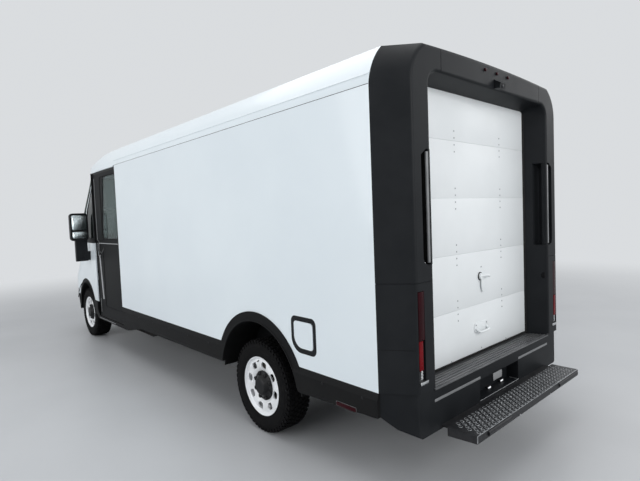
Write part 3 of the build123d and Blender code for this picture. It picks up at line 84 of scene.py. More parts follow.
wheels = {}
for corner in ("fl", "fr", "rl", "rr"):
    low, high = span("tyre_" + corner)
    wheels[corner] = {"centre": (low + high) / 2, "radius": (high.z - low.z) / 2,
                      "half": (high.y - low.y) / 2, "side": 1 if low.y > 0 else -1}
panel_low, panel_high = span("side_panel_l")
roll_low, roll_high = span("rollup_door")
step_low, step_high = span("rear_step")
bumper_low = span("bumper_rear")[0]
skin_y = panel_high.y
portal_x = bumper_low.x - 0.016        # the bumper's face lies 16 mm inside the portal's
door_x = roll_high.x - 0.035           # the roll-up door is 35 mm thick
axle_x = wheels["rl"]["centre"].x
steer_x = wheels["fl"]["centre"].x
axle_z = wheels["rl"]["centre"].z
nose_ray_x = 4.0                       # rays at the nose start ahead of the van
print("wheels:", {k: [round(v, 3) for v in w["centre"]] for k, w in wheels.items()})
print("portal face at x", round(portal_x, 3), "roll-up door at x", round(door_x, 3))

# %% [markdown]
# ## Finishes
# A real surface is never one flat colour. Paint has a faint unevenness and a fine bump, moulded
# plastic has grain and rubbed patches, rubber holds dust. Each finish below is a small node tree:
# noise in Object coordinates varies the colour and the roughness, and a finer noise makes the bump.
# Low down on a van there is road dust, so some finishes fade to a dust colour towards the ground.
# Values that are the same everywhere are typed into the shader itself.

# %% A helper that makes one finish
def finish(name, colour, second, rough, spread=0.06, size=6.0, bump=0.15, bump_size=300.0,
           depth=0.0006, metallic=0.0, coat=0.0, stretch=(1, 1, 1), contrast=(0.35, 0.65),
           detail=4.0, specular=0.5, dust=None):
    """Shader whose colour drifts between two tones, with uneven gloss and a fine bump."""
    mat = bpy.data.materials.new(name)
    mat.use_nodes = True
    tree = mat.node_tree
    shader = tree.nodes["Principled BSDF"]
    shader.inputs["Metallic"].default_value = metallic
    shader.inputs["Coat Weight"].default_value = coat
    shader.inputs["Coat Roughness"].default_value = 0.08
    shader.inputs["Specular IOR Level"].default_value = specular
    mat.diffuse_color = (*colour, 1)
    place = tree.nodes.new("ShaderNodeTexCoord")
    turn = tree.nodes.new("ShaderNodeMapping")
    turn.inputs["Scale"].default_value = stretch
    tree.links.new(place.outputs["Object"], turn.inputs["Vector"])
    broad = tree.nodes.new("ShaderNodeTexNoise")
    broad.inputs["Scale"].default_value = size
    broad.inputs["Detail"].default_value = detail
    tree.links.new(turn.outputs["Vector"], broad.inputs["Vector"])
    ramp = tree.nodes.new("ShaderNodeValToRGB")
    ramp.color_ramp.elements[0].position = contrast[0]
    ramp.color_ramp.elements[0].color = (*colour, 1)
    ramp.color_ramp.elements[1].position = contrast[1]
    ramp.color_ramp.elements[1].color = (*second, 1)
    tree.links.new(broad.outputs["Fac"], ramp.inputs["Fac"])
    shade = ramp.outputs["Color"]
    if dust:
        shade = add_dust(tree, place, broad, shade, *dust)
    tree.links.new(shade, shader.inputs["Base Color"])
    gloss = tree.nodes.new("ShaderNodeMapRange")
    gloss.inputs["To Min"].default_value = rough - spread
    gloss.inputs["To Max"].default_value = rough + spread
    tree.links.new(broad.outputs["Fac"], gloss.inputs["Value"])
    tree.links.new(gloss.outputs["Result"], shader.inputs["Roughness"])
    fine = tree.nodes.new("ShaderNodeTexNoise")
    fine.inputs["Scale"].default_value = bump_size
    fine.inputs["Detail"].default_value = 2.0
    tree.links.new(turn.outputs["Vector"], fine.inputs["Vector"])
    lift = tree.nodes.new("ShaderNodeBump")
    lift.inputs["Strength"].default_value = bump
    lift.inputs["Distance"].default_value = depth
    tree.links.new(fine.outputs["Fac"], lift.inputs["Height"])
    tree.links.new(lift.outputs["Normal"], shader.inputs["Normal"])
    return mat


def add_dust(tree, place, broad, shade, low, high, colour, amount):
    """Fade towards a dust colour below a height, in uneven patches."""
    split = tree.nodes.new("ShaderNodeSeparateXYZ")
    tree.links.new(place.outputs["Object"], split.inputs["Vector"])
    height = tree.nodes.new("ShaderNodeMapRange")
    height.inputs["From Min"].default_value = low
    height.inputs["From Max"].default_value = high
    height.inputs["To Min"].default_value = amount
    height.inputs["To Max"].default_value = 0.0
    tree.links.new(split.outputs["Z"], height.inputs["Value"])
    patch = tree.nodes.new("ShaderNodeMath")
    patch.operation = "MULTIPLY"
    tree.links.new(height.outputs["Result"], patch.inputs[0])
    tree.links.new(broad.outputs["Fac"], patch.inputs[1])
    blend = tree.nodes.new("ShaderNodeMix")
    blend.data_type = "RGBA"
    tree.links.new(patch.outputs["Value"], blend.inputs["Factor"])
    tree.links.new(shade, blend.inputs["A"])
    blend.inputs["B"].default_value = (*colour, 1)
    return blend.outputs["Result"]


def shader_of(mat):
    return mat.node_tree.nodes["Principled BSDF"]


# %% Paints and plastics
road_dust = (0.070, 0.066, 0.060)
white_paint = finish("white_paint", (0.76, 0.83, 0.865), (0.73, 0.80, 0.84), 0.30, 0.04, 1.2,
                     0.06, 60, 0.0004, coat=0.35)
door_paint = finish("door_paint", (0.80, 0.83, 0.84), (0.76, 0.79, 0.80), 0.42, 0.05, 2.2,
                    0.10, 160, 0.0004, coat=0.1)
grained_black = finish("grained_black", (0.0070, 0.0082, 0.0098), (0.0105, 0.0118, 0.0135), 0.48,
                       0.08, 5.0, 0.30, 700, 0.0005, specular=0.14)
sill_black = finish("sill_black", (0.0029, 0.0032, 0.0037), (0.0050, 0.0052, 0.0056), 0.56, 0.08,
                    3.0, 0.4, 600, 0.0006, specular=0.12, dust=(0.30, 0.62, road_dust, 0.10))
gloss_black = finish("gloss_black", (0.0055, 0.0055, 0.0062), (0.0090, 0.0090, 0.0100), 0.14, 0.04,
                     3.0, 0.03, 80, 0.0003, coat=0.5)
door_black = finish("door_black", (0.0070, 0.0074, 0.0080), (0.0105, 0.0110, 0.0118), 0.46, 0.06,
                    3.0, 0.10, 260, 0.0003, specular=0.05)
rubber = finish("rubber", (0.007, 0.007, 0.008), (0.014, 0.0135, 0.013), 0.72, 0.08, 14.0, 0.5,
                500, 0.0005, specular=0.15)
tyre_rubber = finish("tyre_rubber", (0.0036, 0.0036, 0.0042), (0.0090, 0.0086, 0.0082), 0.74, 0.08,
                     22.0, 0.5, 420, 0.0006, contrast=(0.42, 0.82), specular=0.08)
cap_plastic = finish("cap_plastic", (0.006, 0.006, 0.007), (0.010, 0.010, 0.011), 0.42, 0.08, 20.0,
                     0.3, 500, 0.0004, specular=0.2)
wall_grey = finish("wall_grey", (0.36, 0.37, 0.38), (0.31, 0.315, 0.32), 0.62, 0.06, 5.0, 0.3,
                   260, 0.0006)
floor_grey = finish("floor_grey", (0.17, 0.175, 0.18), (0.11, 0.11, 0.112), 0.66, 0.08, 7.0, 0.45,
                    220, 0.0008)
dash_plastic = finish("dash_plastic", (0.045, 0.047, 0.050), (0.032, 0.033, 0.036), 0.60, 0.06,
                      6.0, 0.45, 420, 0.0006)
# This light grey is painted highlight, on the bumper's ledges and on the grab bars' sides.
highlight_grey = finish("highlight_grey", (0.20, 0.205, 0.21), (0.15, 0.155, 0.16), 0.45, 0.06, 9.0, 0.3,
                    300, 0.0004)
print("paints and plastics:", len(bpy.data.materials))

# %% Metals
rim_paint = finish("rim_paint", (0.82, 0.84, 0.86), (0.72, 0.73, 0.73), 0.34, 0.07, 16.0, 0.10,
                   200, 0.0003, coat=0.25, contrast=(0.45, 0.85))
chassis_black = finish("chassis_black", (0.014, 0.014, 0.015), (0.040, 0.036, 0.032), 0.60, 0.10,
                       9.0, 0.4, 260, 0.0006, metallic=0.35, contrast=(0.4, 0.8))
battery_alloy = finish("battery_alloy", (0.16, 0.165, 0.17), (0.11, 0.11, 0.115), 0.48, 0.08, 4.0,
                       0.3, 180, 0.0005, metallic=0.85)
step_steel = finish("step_steel", (0.014, 0.015, 0.017), (0.026, 0.026, 0.028), 0.44, 0.08, 18.0,
                    0.35, 260, 0.0005, metallic=0.3, specular=0.3)
# This steel's light tone is painted highlight: on the step's lip, on the recess's edge and on the raised rims
# of the step's holes.
highlight_steel = finish("highlight_steel", (0.20, 0.21, 0.22), (0.34, 0.35, 0.36), 0.38, 0.08, 40.0,
                     0.30, 260, 0.0004, metallic=0.6)
sill_alloy = finish("sill_alloy", (0.13, 0.133, 0.138), (0.20, 0.20, 0.205), 0.44, 0.08, 30.0, 0.3,
                    240, 0.0004, metallic=0.7, stretch=(1, 0.15, 1))
bright_alloy = finish("bright_alloy", (0.62, 0.63, 0.64), (0.50, 0.51, 0.52), 0.28, 0.06, 24.0,
                      0.15, 300, 0.0003, metallic=1.0)
screw_zinc = finish("screw_zinc", (0.42, 0.44, 0.46), (0.30, 0.31, 0.33), 0.36, 0.06, 60.0, 0.2,
                    400, 0.0002, metallic=0.7)
cast_iron = finish("cast_iron", (0.10, 0.095, 0.09), (0.16, 0.13, 0.11), 0.55, 0.10, 30.0, 0.5,
                   300, 0.0005, metallic=0.8)
mirror_face = finish("mirror_face", (0.62, 0.69, 0.71), (0.58, 0.65, 0.67), 0.22, 0.03, 5.0, 0.01,
                     20, 0.0002, metallic=1.0)
print("with metals:", len(bpy.data.materials))

# %% [markdown]
# ## Lenses and glass
# Clear things need transmission, and a lamp's red or amber lens also has a moulded pattern on it.
# A wave texture in Object coordinates makes those flutes; the tint varies a little from place to
# place, so it isn't one flat colour either.

# %% Glass and lens finishes
def clear(name, colour, second, rough=0.04, through=1.0, ior=1.45, flutes=0.0, flute_size=60.0,
          direction="Z", glow=0.0, specular=0.5):
    """Glass or moulded lens with a slight drift in tint and optional flutes."""
    mat = finish(name, colour, second, rough, min(0.02, rough / 2), 4.0, 0.02, 40, 0.0002,
                 specular=specular)
    shader = shader_of(mat)
    shader.inputs["Transmission Weight"].default_value = through
    shader.inputs["IOR"].default_value = ior
    if glow:
        shader.inputs["Emission Color"].default_value = (*colour, 1)
        shader.inputs["Emission Strength"].default_value = glow
    if flutes:
        tree = mat.node_tree
        wave = tree.nodes.new("ShaderNodeTexWave")
        wave.bands_direction = direction
        wave.inputs["Scale"].default_value = flute_size
        place = node_of(tree, "ShaderNodeMapping")
        lift = node_of(tree, "ShaderNodeBump")
        tree.links.new(place.outputs["Vector"], wave.inputs["Vector"])
        tree.links.new(wave.outputs["Fac"], lift.inputs["Height"])
        lift.inputs["Strength"].default_value = flutes
        lift.inputs["Distance"].default_value = 0.002
    return mat


cab_glass = clear("cab_glass", (0.040, 0.058, 0.054), (0.034, 0.049, 0.046), 0.02, 0.92, 1.08,
                  specular=0.1)
door_glass = clear("door_glass", (0.72, 0.82, 0.81), (0.66, 0.76, 0.75), 0.02, 0.95, 1.08,
                   specular=0.1)
lamp_clear = clear("lamp_clear", (0.80, 0.82, 0.85), (0.70, 0.72, 0.76), 0.05, 0.5, flutes=0.25,
                   flute_size=45, direction="Y")
dark_red = clear("dark_red", (0.026, 0.0004, 0.003), (0.016, 0.0004, 0.002), 0.22, 0.0, flutes=0.25,
                 flute_size=70, specular=0.10)
bright_red = clear("bright_red", (0.16, 0.0015, 0.005), (0.11, 0.001, 0.004), 0.20, 0.0, flutes=0.35,
                   flute_size=70, specular=0.12)
amber_lens = clear("amber_lens", (0.80, 0.26, 0.02), (0.70, 0.20, 0.01), 0.14, 0.2, flutes=0.4,
                   flute_size=80)
lit_white = clear("lit_white", (0.90, 0.92, 0.94), (0.82, 0.84, 0.88), 0.20, 0.0, glow=0.6)
black_lens = clear("black_lens", (0.008, 0.010, 0.014), (0.004, 0.005, 0.008), 0.05, 0.0)
print("lenses and glass ready")

# %% [markdown]
# ## Cloth for the seat
# A van's seat has a flat, hard-wearing woven cloth. Two crossed wave patterns make its threads,
# both in Object coordinates, so the weave keeps its size wherever the cloth bends.

# %% Woven cloth and its piping
def woven(name, colour, second, threads):
    mat = finish(name, colour, second, 0.86, 0.05, 40.0, 0.4, 300, 0.0006, specular=0.2)
    tree = mat.node_tree
    shader_of(mat).inputs["Sheen Weight"].default_value = 0.35
    lift = node_of(tree, "ShaderNodeBump")
    place = node_of(tree, "ShaderNodeTexCoord")
    crossing = tree.nodes.new("ShaderNodeMath")
    crossing.operation = "MULTIPLY"
    for i, direction in enumerate(("X", "Y")):
        wave = tree.nodes.new("ShaderNodeTexWave")
        wave.bands_direction = direction
        wave.inputs["Scale"].default_value = threads
        wave.inputs["Distortion"].default_value = 0.4
        tree.links.new(place.outputs["Object"], wave.inputs["Vector"])
        tree.links.new(wave.outputs["Fac"], crossing.inputs[i])
    tree.links.new(crossing.outputs["Value"], lift.inputs["Height"])
    lift.inputs["Strength"].default_value = 0.6
    return mat


seat_cloth = woven("seat_cloth", (0.050, 0.052, 0.058), (0.036, 0.037, 0.041), 180.0)
seat_side = woven("seat_side", (0.020, 0.021, 0.023), (0.014, 0.014, 0.016), 220.0)
webbing = woven("webbing", (0.014, 0.014, 0.015), (0.020, 0.020, 0.021), 320.0)
stitch_thread = finish("stitch_thread", (0.20, 0.20, 0.21), (0.15, 0.15, 0.155), 0.7, 0.05, 80.0)
print("cloth ready:", len(bpy.data.materials), "finishes in all")

# %% [markdown]
# ## Dress the solid model
# The solids keep their shapes; only what sits in their material slots changes. Faces that belong
# to another finish get one of their own in the pieces made further down.

# %% Put the finishes on the nodes
dress = {
    door_paint: ["rollup_door"],
    white_paint: ["cargo_roof", "cab_roof", "side_panel_l", "side_panel_r", "fenders", "hood",
                  "bumper_front_upper", "charge_flap", "front_pillars"],
    grained_black: ["rear_frame", "bumper_rear", "grab_bars", "mirrors", "charge_surround",
                    "bumper_front_lower"],
    sill_black: ["cladding_l", "cladding_r", "arch_liners"],
    door_black: ["side_door_l", "side_door_r", "cab_frame"],
    gloss_black: ["nose_band"],
    cab_glass: ["cab_glass"],
    door_glass: ["door_glass_l", "door_glass_r"],
    tyre_rubber: ["tyre_fl", "tyre_fr", "tyre_rl", "tyre_rr"],
    rim_paint: ["rim_fl", "rim_fr", "rim_rl", "rim_rr"],
    cap_plastic: ["hub_cap_fl", "hub_cap_fr", "hub_cap_rl", "hub_cap_rr"],
    chassis_black: ["chassis_frame", "rear_axle", "front_suspension", "knuckle_fl", "knuckle_fr",
                    "door_tracks"],
    battery_alloy: ["battery"],
    step_steel: ["rear_step"],
    sill_alloy: ["threshold"],
    lamp_clear: ["front_lamps"],
    dark_red: ["rear_lamps"],
    wall_grey: ["side_liners", "bulkhead"],
    floor_grey: ["floor"],
    dash_plastic: ["dashboard", "steering_wheel", "driver_seat"],
}
for mat, names in dress.items():
    for name in names:
        for place in nodes[name].material_slots:
            place.link = "OBJECT"
            place.material = mat
plain = [n for n in nodes if not any(n in names for names in dress.values())]
print("nodes without a finish:", plain)

# %% [markdown]
# ## Shapes drawn one by one
# Small one-off shapes are drawn in bmesh, Blender's mesh editor in code. A few helpers cover nearly
# everything on a vehicle: a slab with rounded edges, an outline pushed along an axis, a bar or tube
# along a path, and a profile turned round a line. Each returns its corners, so calls can share one
# mesh. `settle` turns the drawing into a piece that rides on a body.

# %% Slabs, bars and outlines
def slab(shape, low, high, bevel=0.0, segments=2):
    """Box between any two opposite corners, its edges rounded."""
    low, high = (Vector([pick(a, b) for a, b in zip(low, high)]) for pick in (min, max))
    made = bmesh.ops.create_cube(shape, size=1.0)["verts"]
    for v in made:
        v.co = Vector([(low[i] + high[i]) / 2 + v.co[i] * (high[i] - low[i]) for i in range(3)])
    if bevel:
        edges = list({e for v in made for e in v.link_edges})
        bmesh.ops.bevel(shape, geom=edges, offset=bevel, segments=segments, profile=0.5,
                        affect="EDGES", clamp_overlap=True)


def prism(shape, outline, axis, low, high, bevel=0.0, segments=2):
    """Flat outline pushed along x, y or z."""
    lay = {"x": lambda a, b, t: (t, a, b), "y": lambda a, b, t: (a, t, b),
           "z": lambda a, b, t: (a, b, t)}[axis]
    near = [shape.verts.new(lay(a, b, low)) for a, b in outline]
    far = [shape.verts.new(lay(a, b, high)) for a, b in outline]
    caps = [shape.faces.new(near), shape.faces.new(far[::-1])]
    count = len(outline)
    for i in range(count):
        shape.faces.new((near[i], near[(i + 1) % count], far[(i + 1) % count], far[i]))
    if bevel:
        rims = list({e for cap in caps for e in cap.edges})
        bmesh.ops.bevel(shape, geom=rims, offset=bevel, segments=segments, profile=0.5,
                        affect="EDGES", clamp_overlap=True)


def bar(shape, start, end, wide, thick, face):
    """Flat bar from start to end, its broad side turned to face."""
    start, end, face = Vector(start), Vector(end), Vector(face).normalized()
    run = (end - start).normalized()
    across = run.cross(face).normalized() * wide / 2
    lift = across.cross(run).normalized() * thick / 2
    ends = [[shape.verts.new(p + sa * across + sl * lift)
             for sa, sl in ((1, 1), (-1, 1), (-1, -1), (1, -1))] for p in (start, end)]
    for i in range(4):
        shape.faces.new((ends[0][i], ends[0][(i + 1) % 4], ends[1][(i + 1) % 4], ends[1][i]))
    shape.faces.new(ends[0])
    shape.faces.new(ends[1][::-1])


def rounded(width, height, radius, steps=5, middle=(0.0, 0.0)):
    """Outline of a rounded rectangle, anticlockwise."""
    points = []
    for cx, cy, first in ((1, 1, 0), (-1, 1, 90), (-1, -1, 180), (1, -1, 270)):
        for k in range(steps + 1):
            angle = math.radians(first + 90 * k / steps)
            points.append((middle[0] + cx * (width / 2 - radius) + radius * math.cos(angle),
                           middle[1] + cy * (height / 2 - radius) + radius * math.sin(angle)))
    return points


# %% Tubes and turned shapes
def curve_through(points, steps=6):
    """Smooth path through a few points."""
    points = [Vector(p) for p in points]
    path = []
    for i in range(len(points) - 1):
        a, b = points[max(i - 1, 0)], points[i]
        c, d = points[i + 1], points[min(i + 2, len(points) - 1)]
        for k in range(steps):
            t = k / steps
            path.append(0.5 * (2 * b + (c - a) * t + (2 * a - 5 * b + 4 * c - d) * t * t
                               + (3 * b - a - 3 * c + d) * t ** 3))
    return path + [points[-1]]


def tube(shape, points, radius, sides=10, closed=False, flat=1.0):
    """Round or flattened bar that follows a path."""
    points = [Vector(p) for p in points]
    count = len(points)
    rings, normal = [], None
    for i, point in enumerate(points):
        before = points[i - 1] if closed or i else points[i]
        after = points[(i + 1) % count] if closed or i + 1 < count else points[i]
        ahead = (after - before).normalized()
        if normal is None:
            normal = ahead.orthogonal().normalized()
            if abs(ahead.z) < 0.9:
                normal = (Vector((0, 0, 1)) - ahead * ahead.z).normalized()
        normal = (normal - ahead * normal.dot(ahead)).normalized()
        across = ahead.cross(normal)
        size = radius[i] if isinstance(radius, (list, tuple)) else radius
        rings.append([shape.verts.new(point + size * (math.cos(a) * normal + flat * math.sin(a) * across))
                      for a in (math.tau * k / sides for k in range(sides))])
    pairs = list(zip(rings, rings[1:])) + ([(rings[-1], rings[0])] if closed else [])
    for first, second in pairs:
        for k in range(sides):
            shape.faces.new((first[k], first[(k + 1) % sides], second[(k + 1) % sides], second[k]))
    if not closed:
        shape.faces.new(rings[0][::-1])
        shape.faces.new(rings[-1])


def turned(shape, profile, base, out, steps=32, closed=False):
    """Profile of (radius, height) turned round the line from base along out."""
    base, out = Vector(base), Vector(out).normalized()
    first = out.orthogonal().normalized()
    second = out.cross(first)
    rings = []
    for radius, height in profile:
        middle = base + out * height
        if radius < 1e-6:
            rings.append([shape.verts.new(middle)])
        else:
            rings.append([shape.verts.new(middle + radius * (math.cos(a) * first + math.sin(a) * second))
                          for a in (math.tau * k / steps for k in range(steps))])
    pairs = list(zip(rings, rings[1:])) + ([(rings[-1], rings[0])] if closed else [])
    for a, b in pairs:
        for k in range(steps):
            n = (k + 1) % steps
            if len(a) == 1:
                shape.faces.new((a[0], b[n], b[k]))
            elif len(b) == 1:
                shape.faces.new((a[k], a[n], b[0]))
            else:
                shape.faces.new((a[k], a[n], b[n], b[k]))


# %% Cut one drawing out of another
def carve(shape, cutter):
    """Mesh of a bmesh with another taken away from it."""
    meshes = []
    for part in (shape, cutter):
        bmesh.ops.remove_doubles(part, verts=part.verts, dist=1e-6)
        bmesh.ops.recalc_face_normals(part, faces=part.faces)
        mesh = bpy.data.meshes.new("part")
        part.to_mesh(mesh)
        part.free()
        meshes.append(mesh)
    whole, tool = (bpy.data.objects.new("part", mesh) for mesh in meshes)
    for obj in (whole, tool):
        bpy.context.scene.collection.objects.link(obj)
    cut = whole.modifiers.new("cut", "BOOLEAN")
    cut.operation, cut.object, cut.solver = "DIFFERENCE", tool, "EXACT"
    result = baked(whole)
    whole.modifiers.remove(cut)
    for obj in (whole, tool):
        bpy.data.objects.remove(obj)
    return result


# %% From a drawing to a finished piece
def add_object(name, mesh):
    obj = bpy.data.objects.new(name, mesh)
    bpy.context.scene.collection.objects.link(obj)
    return obj


def settle(name, source, mat, body, crease=35):
    """Make a piece of a bmesh or a mesh: outward faces, smooth shading, its finish and its body."""
    if isinstance(source, bmesh.types.BMesh):
        bmesh.ops.remove_doubles(source, verts=source.verts, dist=1e-6)
        bmesh.ops.recalc_face_normals(source, faces=source.faces)
        mesh = bpy.data.meshes.new(name)
        source.to_mesh(mesh)
        source.free()
    else:
        mesh = source
        mesh.name = name
    mesh.materials.clear()
    mesh.materials.append(mat)
    mesh.polygons.foreach_set("material_index", [0] * len(mesh.polygons))
    mesh.shade_smooth()
    mesh.set_sharp_from_angle(angle=math.radians(crease))
    obj = add_object(name, mesh)
    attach(obj, body)
    return obj


van = "van_body"
print("drawing helpers ready")

# %% [markdown]
# ## Repeats with Geometry Nodes
# Screws, tread blocks, ribs and perforations repeat one small shape many times. A Geometry Nodes tree
# does that well: its inputs are named, so a count or a pitch can be changed without touching the
# shape. Each tree below is built in code and run once; the result is kept as a plain mesh, because
# an exported model can't hold live instances.

# %% Build and run a tree
def new_tree(name, inputs):
    """Empty tree with named inputs and one geometry output."""
    tree = bpy.data.node_groups.new(name, "GeometryNodeTree")
    tree.interface.new_socket("Geometry", in_out="INPUT", socket_type="NodeSocketGeometry")
    for label, kind, value in inputs + [("Finish", "Material", None)]:
        socket = tree.interface.new_socket(label, in_out="INPUT", socket_type="NodeSocket" + kind)
        if value is not None:
            socket.default_value = value
    tree.interface.new_socket("Geometry", in_out="OUTPUT", socket_type="NodeSocketGeometry")
    tree.nodes.new("NodeGroupInput")
    tree.nodes.new("NodeGroupOutput")
    return tree


def asks(tree, label):
    """The tree's own input with this name."""
    return tree.nodes["Group Input"].outputs[label]


def step(tree, kind, sockets=None, **settings):
    """Add one node; a socket's value is a number or another node's output."""
    node = tree.nodes.new(kind)
    for key, value in settings.items():
        setattr(node, key, value)
    for key, value in (sockets or {}).items():
        if isinstance(value, bpy.types.NodeSocket):
            tree.links.new(value, node.inputs[key])
        else:
            node.inputs[key].default_value = value
    return node.outputs[0]


def close_tree(tree, geometry):
    """Realize the instances, give them the finish and send them out."""
    real = step(tree, "GeometryNodeRealizeInstances", {"Geometry": geometry})
    done = step(tree, "GeometryNodeSetMaterial", {"Geometry": real, "Material": asks(tree, "Finish")})
    tree.links.new(done, tree.nodes["Group Output"].inputs["Geometry"])
    return tree


def evaluate(tree, mat, values, base=None):
    """Run a tree on a base mesh and return the result as a plain mesh."""
    host = add_object("host", base or bpy.data.meshes.new("base"))
    modifier = host.modifiers.new("shape", "NODES")
    modifier.node_group = tree
    sockets = {s.name: s.identifier for s in tree.interface.items_tree if s.in_out == "INPUT"}
    for label, value in {**values, "Finish": mat}.items():
        modifier[sockets[label]] = value
    mesh = baked(host)
    host.modifiers.remove(modifier)
    bpy.data.objects.remove(host)
    return mesh


def grown(name, tree, mat, runs, body, crease=35):
    """One piece from one or more runs of a tree."""
    shape = bmesh.new()
    for values in runs:
        mesh = evaluate(tree, mat, values)
        shape.from_mesh(mesh)
        bpy.data.meshes.remove(mesh)
    mesh = bpy.data.meshes.new(name)
    shape.to_mesh(mesh)
    shape.free()
    return settle(name, mesh, mat, body, crease)


# %% A tree for screws and bolts in rows
def lines_of_points(tree):
    """Points in a line, repeated in rows and again in banks."""
    line = step(tree, "GeometryNodeMeshLine", {"Count": asks(tree, "Count"), "Offset": asks(tree, "Step"),
                                               "Start Location": asks(tree, "First")})
    rows = step(tree, "GeometryNodeMeshLine",
                {"Count": asks(tree, "Rows"), "Offset": asks(tree, "Row step")})
    banks = step(tree, "GeometryNodeMeshLine",
                 {"Count": asks(tree, "Banks"), "Offset": asks(tree, "Bank step")})
    grid = step(tree, "GeometryNodeInstanceOnPoints", {"Points": rows, "Instance": line})
    grid = step(tree, "GeometryNodeRealizeInstances", {"Geometry": grid})
    field = step(tree, "GeometryNodeInstanceOnPoints", {"Points": banks, "Instance": grid})
    return step(tree, "GeometryNodeRealizeInstances", {"Geometry": field})


grid_inputs = [("First", "Vector", (0, 0, 0)), ("Step", "Vector", (0, 0, 0.1)), ("Count", "Int", 2),
               ("Row step", "Vector", (0, 0.1, 0)), ("Rows", "Int", 1),
               ("Bank step", "Vector", (0, 0.1, 0)), ("Banks", "Int", 1), ("Turn", "Vector", (0, 0, 0))]
heads = new_tree("fastener_heads", grid_inputs + [("Radius", "Float", 0.006), ("Height", "Float", 0.003),
                                                  ("Sides", "Int", 10), ("Top", "Float", 0.6)])
top_radius = step(heads, "ShaderNodeMath", {0: asks(heads, "Radius"), 1: asks(heads, "Top")},
                  operation="MULTIPLY")
head = step(heads, "GeometryNodeMeshCone", {"Vertices": asks(heads, "Sides"), "Radius Top": top_radius,
                                            "Radius Bottom": asks(heads, "Radius"),
                                            "Depth": asks(heads, "Height")})
turn = step(heads, "FunctionNodeEulerToRotation", {"Euler": asks(heads, "Turn")})
close_tree(heads, step(heads, "GeometryNodeInstanceOnPoints",
                       {"Points": lines_of_points(heads), "Instance": head, "Rotation": turn}))

blocks = new_tree("rows_of_blocks", grid_inputs + [("Size", "Vector", (0.01, 0.01, 0.01))])
cube = step(blocks, "GeometryNodeMeshCube", {"Size": asks(blocks, "Size")})
turn = step(blocks, "FunctionNodeEulerToRotation", {"Euler": asks(blocks, "Turn")})
close_tree(blocks, step(blocks, "GeometryNodeInstanceOnPoints",
                        {"Points": lines_of_points(blocks), "Instance": cube, "Rotation": turn}))
quarter = math.pi / 2
facing = {"+x": (0, quarter, 0), "-x": (0, -quarter, 0), "+y": (-quarter, 0, 0), "-y": (quarter, 0, 0),
          "+z": (0, 0, 0), "-z": (math.pi, 0, 0)}
print("trees:", [t.name for t in bpy.data.node_groups])

# %% [markdown]
# ## Tyres
# A van tyre has a smooth sidewall with a few moulded rings, and a tread of separate blocks. The
# carcass follows one rule, a profile turned round the axle, so it comes from a turned outline. The
# blocks repeat round the wheel, so they come from Geometry Nodes: each block is set out along +X at
# the tread's radius, and its instance is turned about the axle by its number times the pitch.

# %% Tread tree
tread = new_tree("tyre_tread", [("Centre", "Vector", (0, 0, 0)), ("Blocks", "Int", 60),
                                ("Radius", "Float", 0.367), ("Across", "Float", 0.0),
                                ("Phase", "Float", 0.0), ("Skew", "Float", 0.0),
                                ("Size", "Vector", (0.009, 0.024, 0.03))])
cube = step(tread, "GeometryNodeMeshCube", {"Size": asks(tread, "Size")})
skew = step(tread, "ShaderNodeCombineXYZ", {"X": asks(tread, "Skew")})
seat = step(tread, "ShaderNodeCombineXYZ", {"X": asks(tread, "Radius"), "Y": asks(tread, "Across")})
block = step(tread, "GeometryNodeTransform", {"Geometry": cube, "Translation": seat, "Rotation": skew})
row = step(tread, "GeometryNodeMeshLine", {"Count": asks(tread, "Blocks"), "Offset": (0.0, 0.0, 0.0),
                                           "Start Location": asks(tread, "Centre")})
number = step(tread, "GeometryNodeInputIndex")
pitch = step(tread, "ShaderNodeMath", {0: math.tau, 1: asks(tread, "Blocks")}, operation="DIVIDE")
angle = step(tread, "ShaderNodeMath", {0: number, 1: pitch, 2: asks(tread, "Phase")},
             operation="MULTIPLY_ADD")
about_axle = step(tread, "ShaderNodeCombineXYZ", {"Y": angle})
spin = step(tread, "FunctionNodeEulerToRotation", {"Euler": about_axle})
close_tree(tread, step(tread, "GeometryNodeInstanceOnPoints", {"Points": row, "Instance": block,
                                                              "Rotation": spin}))


# %% Make the four tyres
def sidewall(radius, half):
    """Half of the tyre's section, from its bead up to the middle of the tread: (radius, distance out)."""
    return [(radius - 0.136, half - 0.018), (radius - 0.136, half - 0.009), (radius - 0.131, half - 0.005),
            (radius - 0.125, half - 0.0035), (radius - 0.122, half - 0.0055), (radius - 0.112, half - 0.0030),
            (radius - 0.098, half - 0.0012), (radius - 0.084, half - 0.0004), (radius - 0.070, half - 0.0003),
            (radius - 0.0605, half - 0.0008), (radius - 0.0590, half - 0.0001),
            (radius - 0.0560, half - 0.0001), (radius - 0.0545, half - 0.0016),
            (radius - 0.044, half - 0.0040), (radius - 0.034, half - 0.0075),
            (radius - 0.024, half - 0.0125), (radius - 0.0150, half - 0.0185),
            (radius - 0.0100, half - 0.0260), (radius - 0.0088, half - 0.0340), (radius - 0.0085, 0.0)]


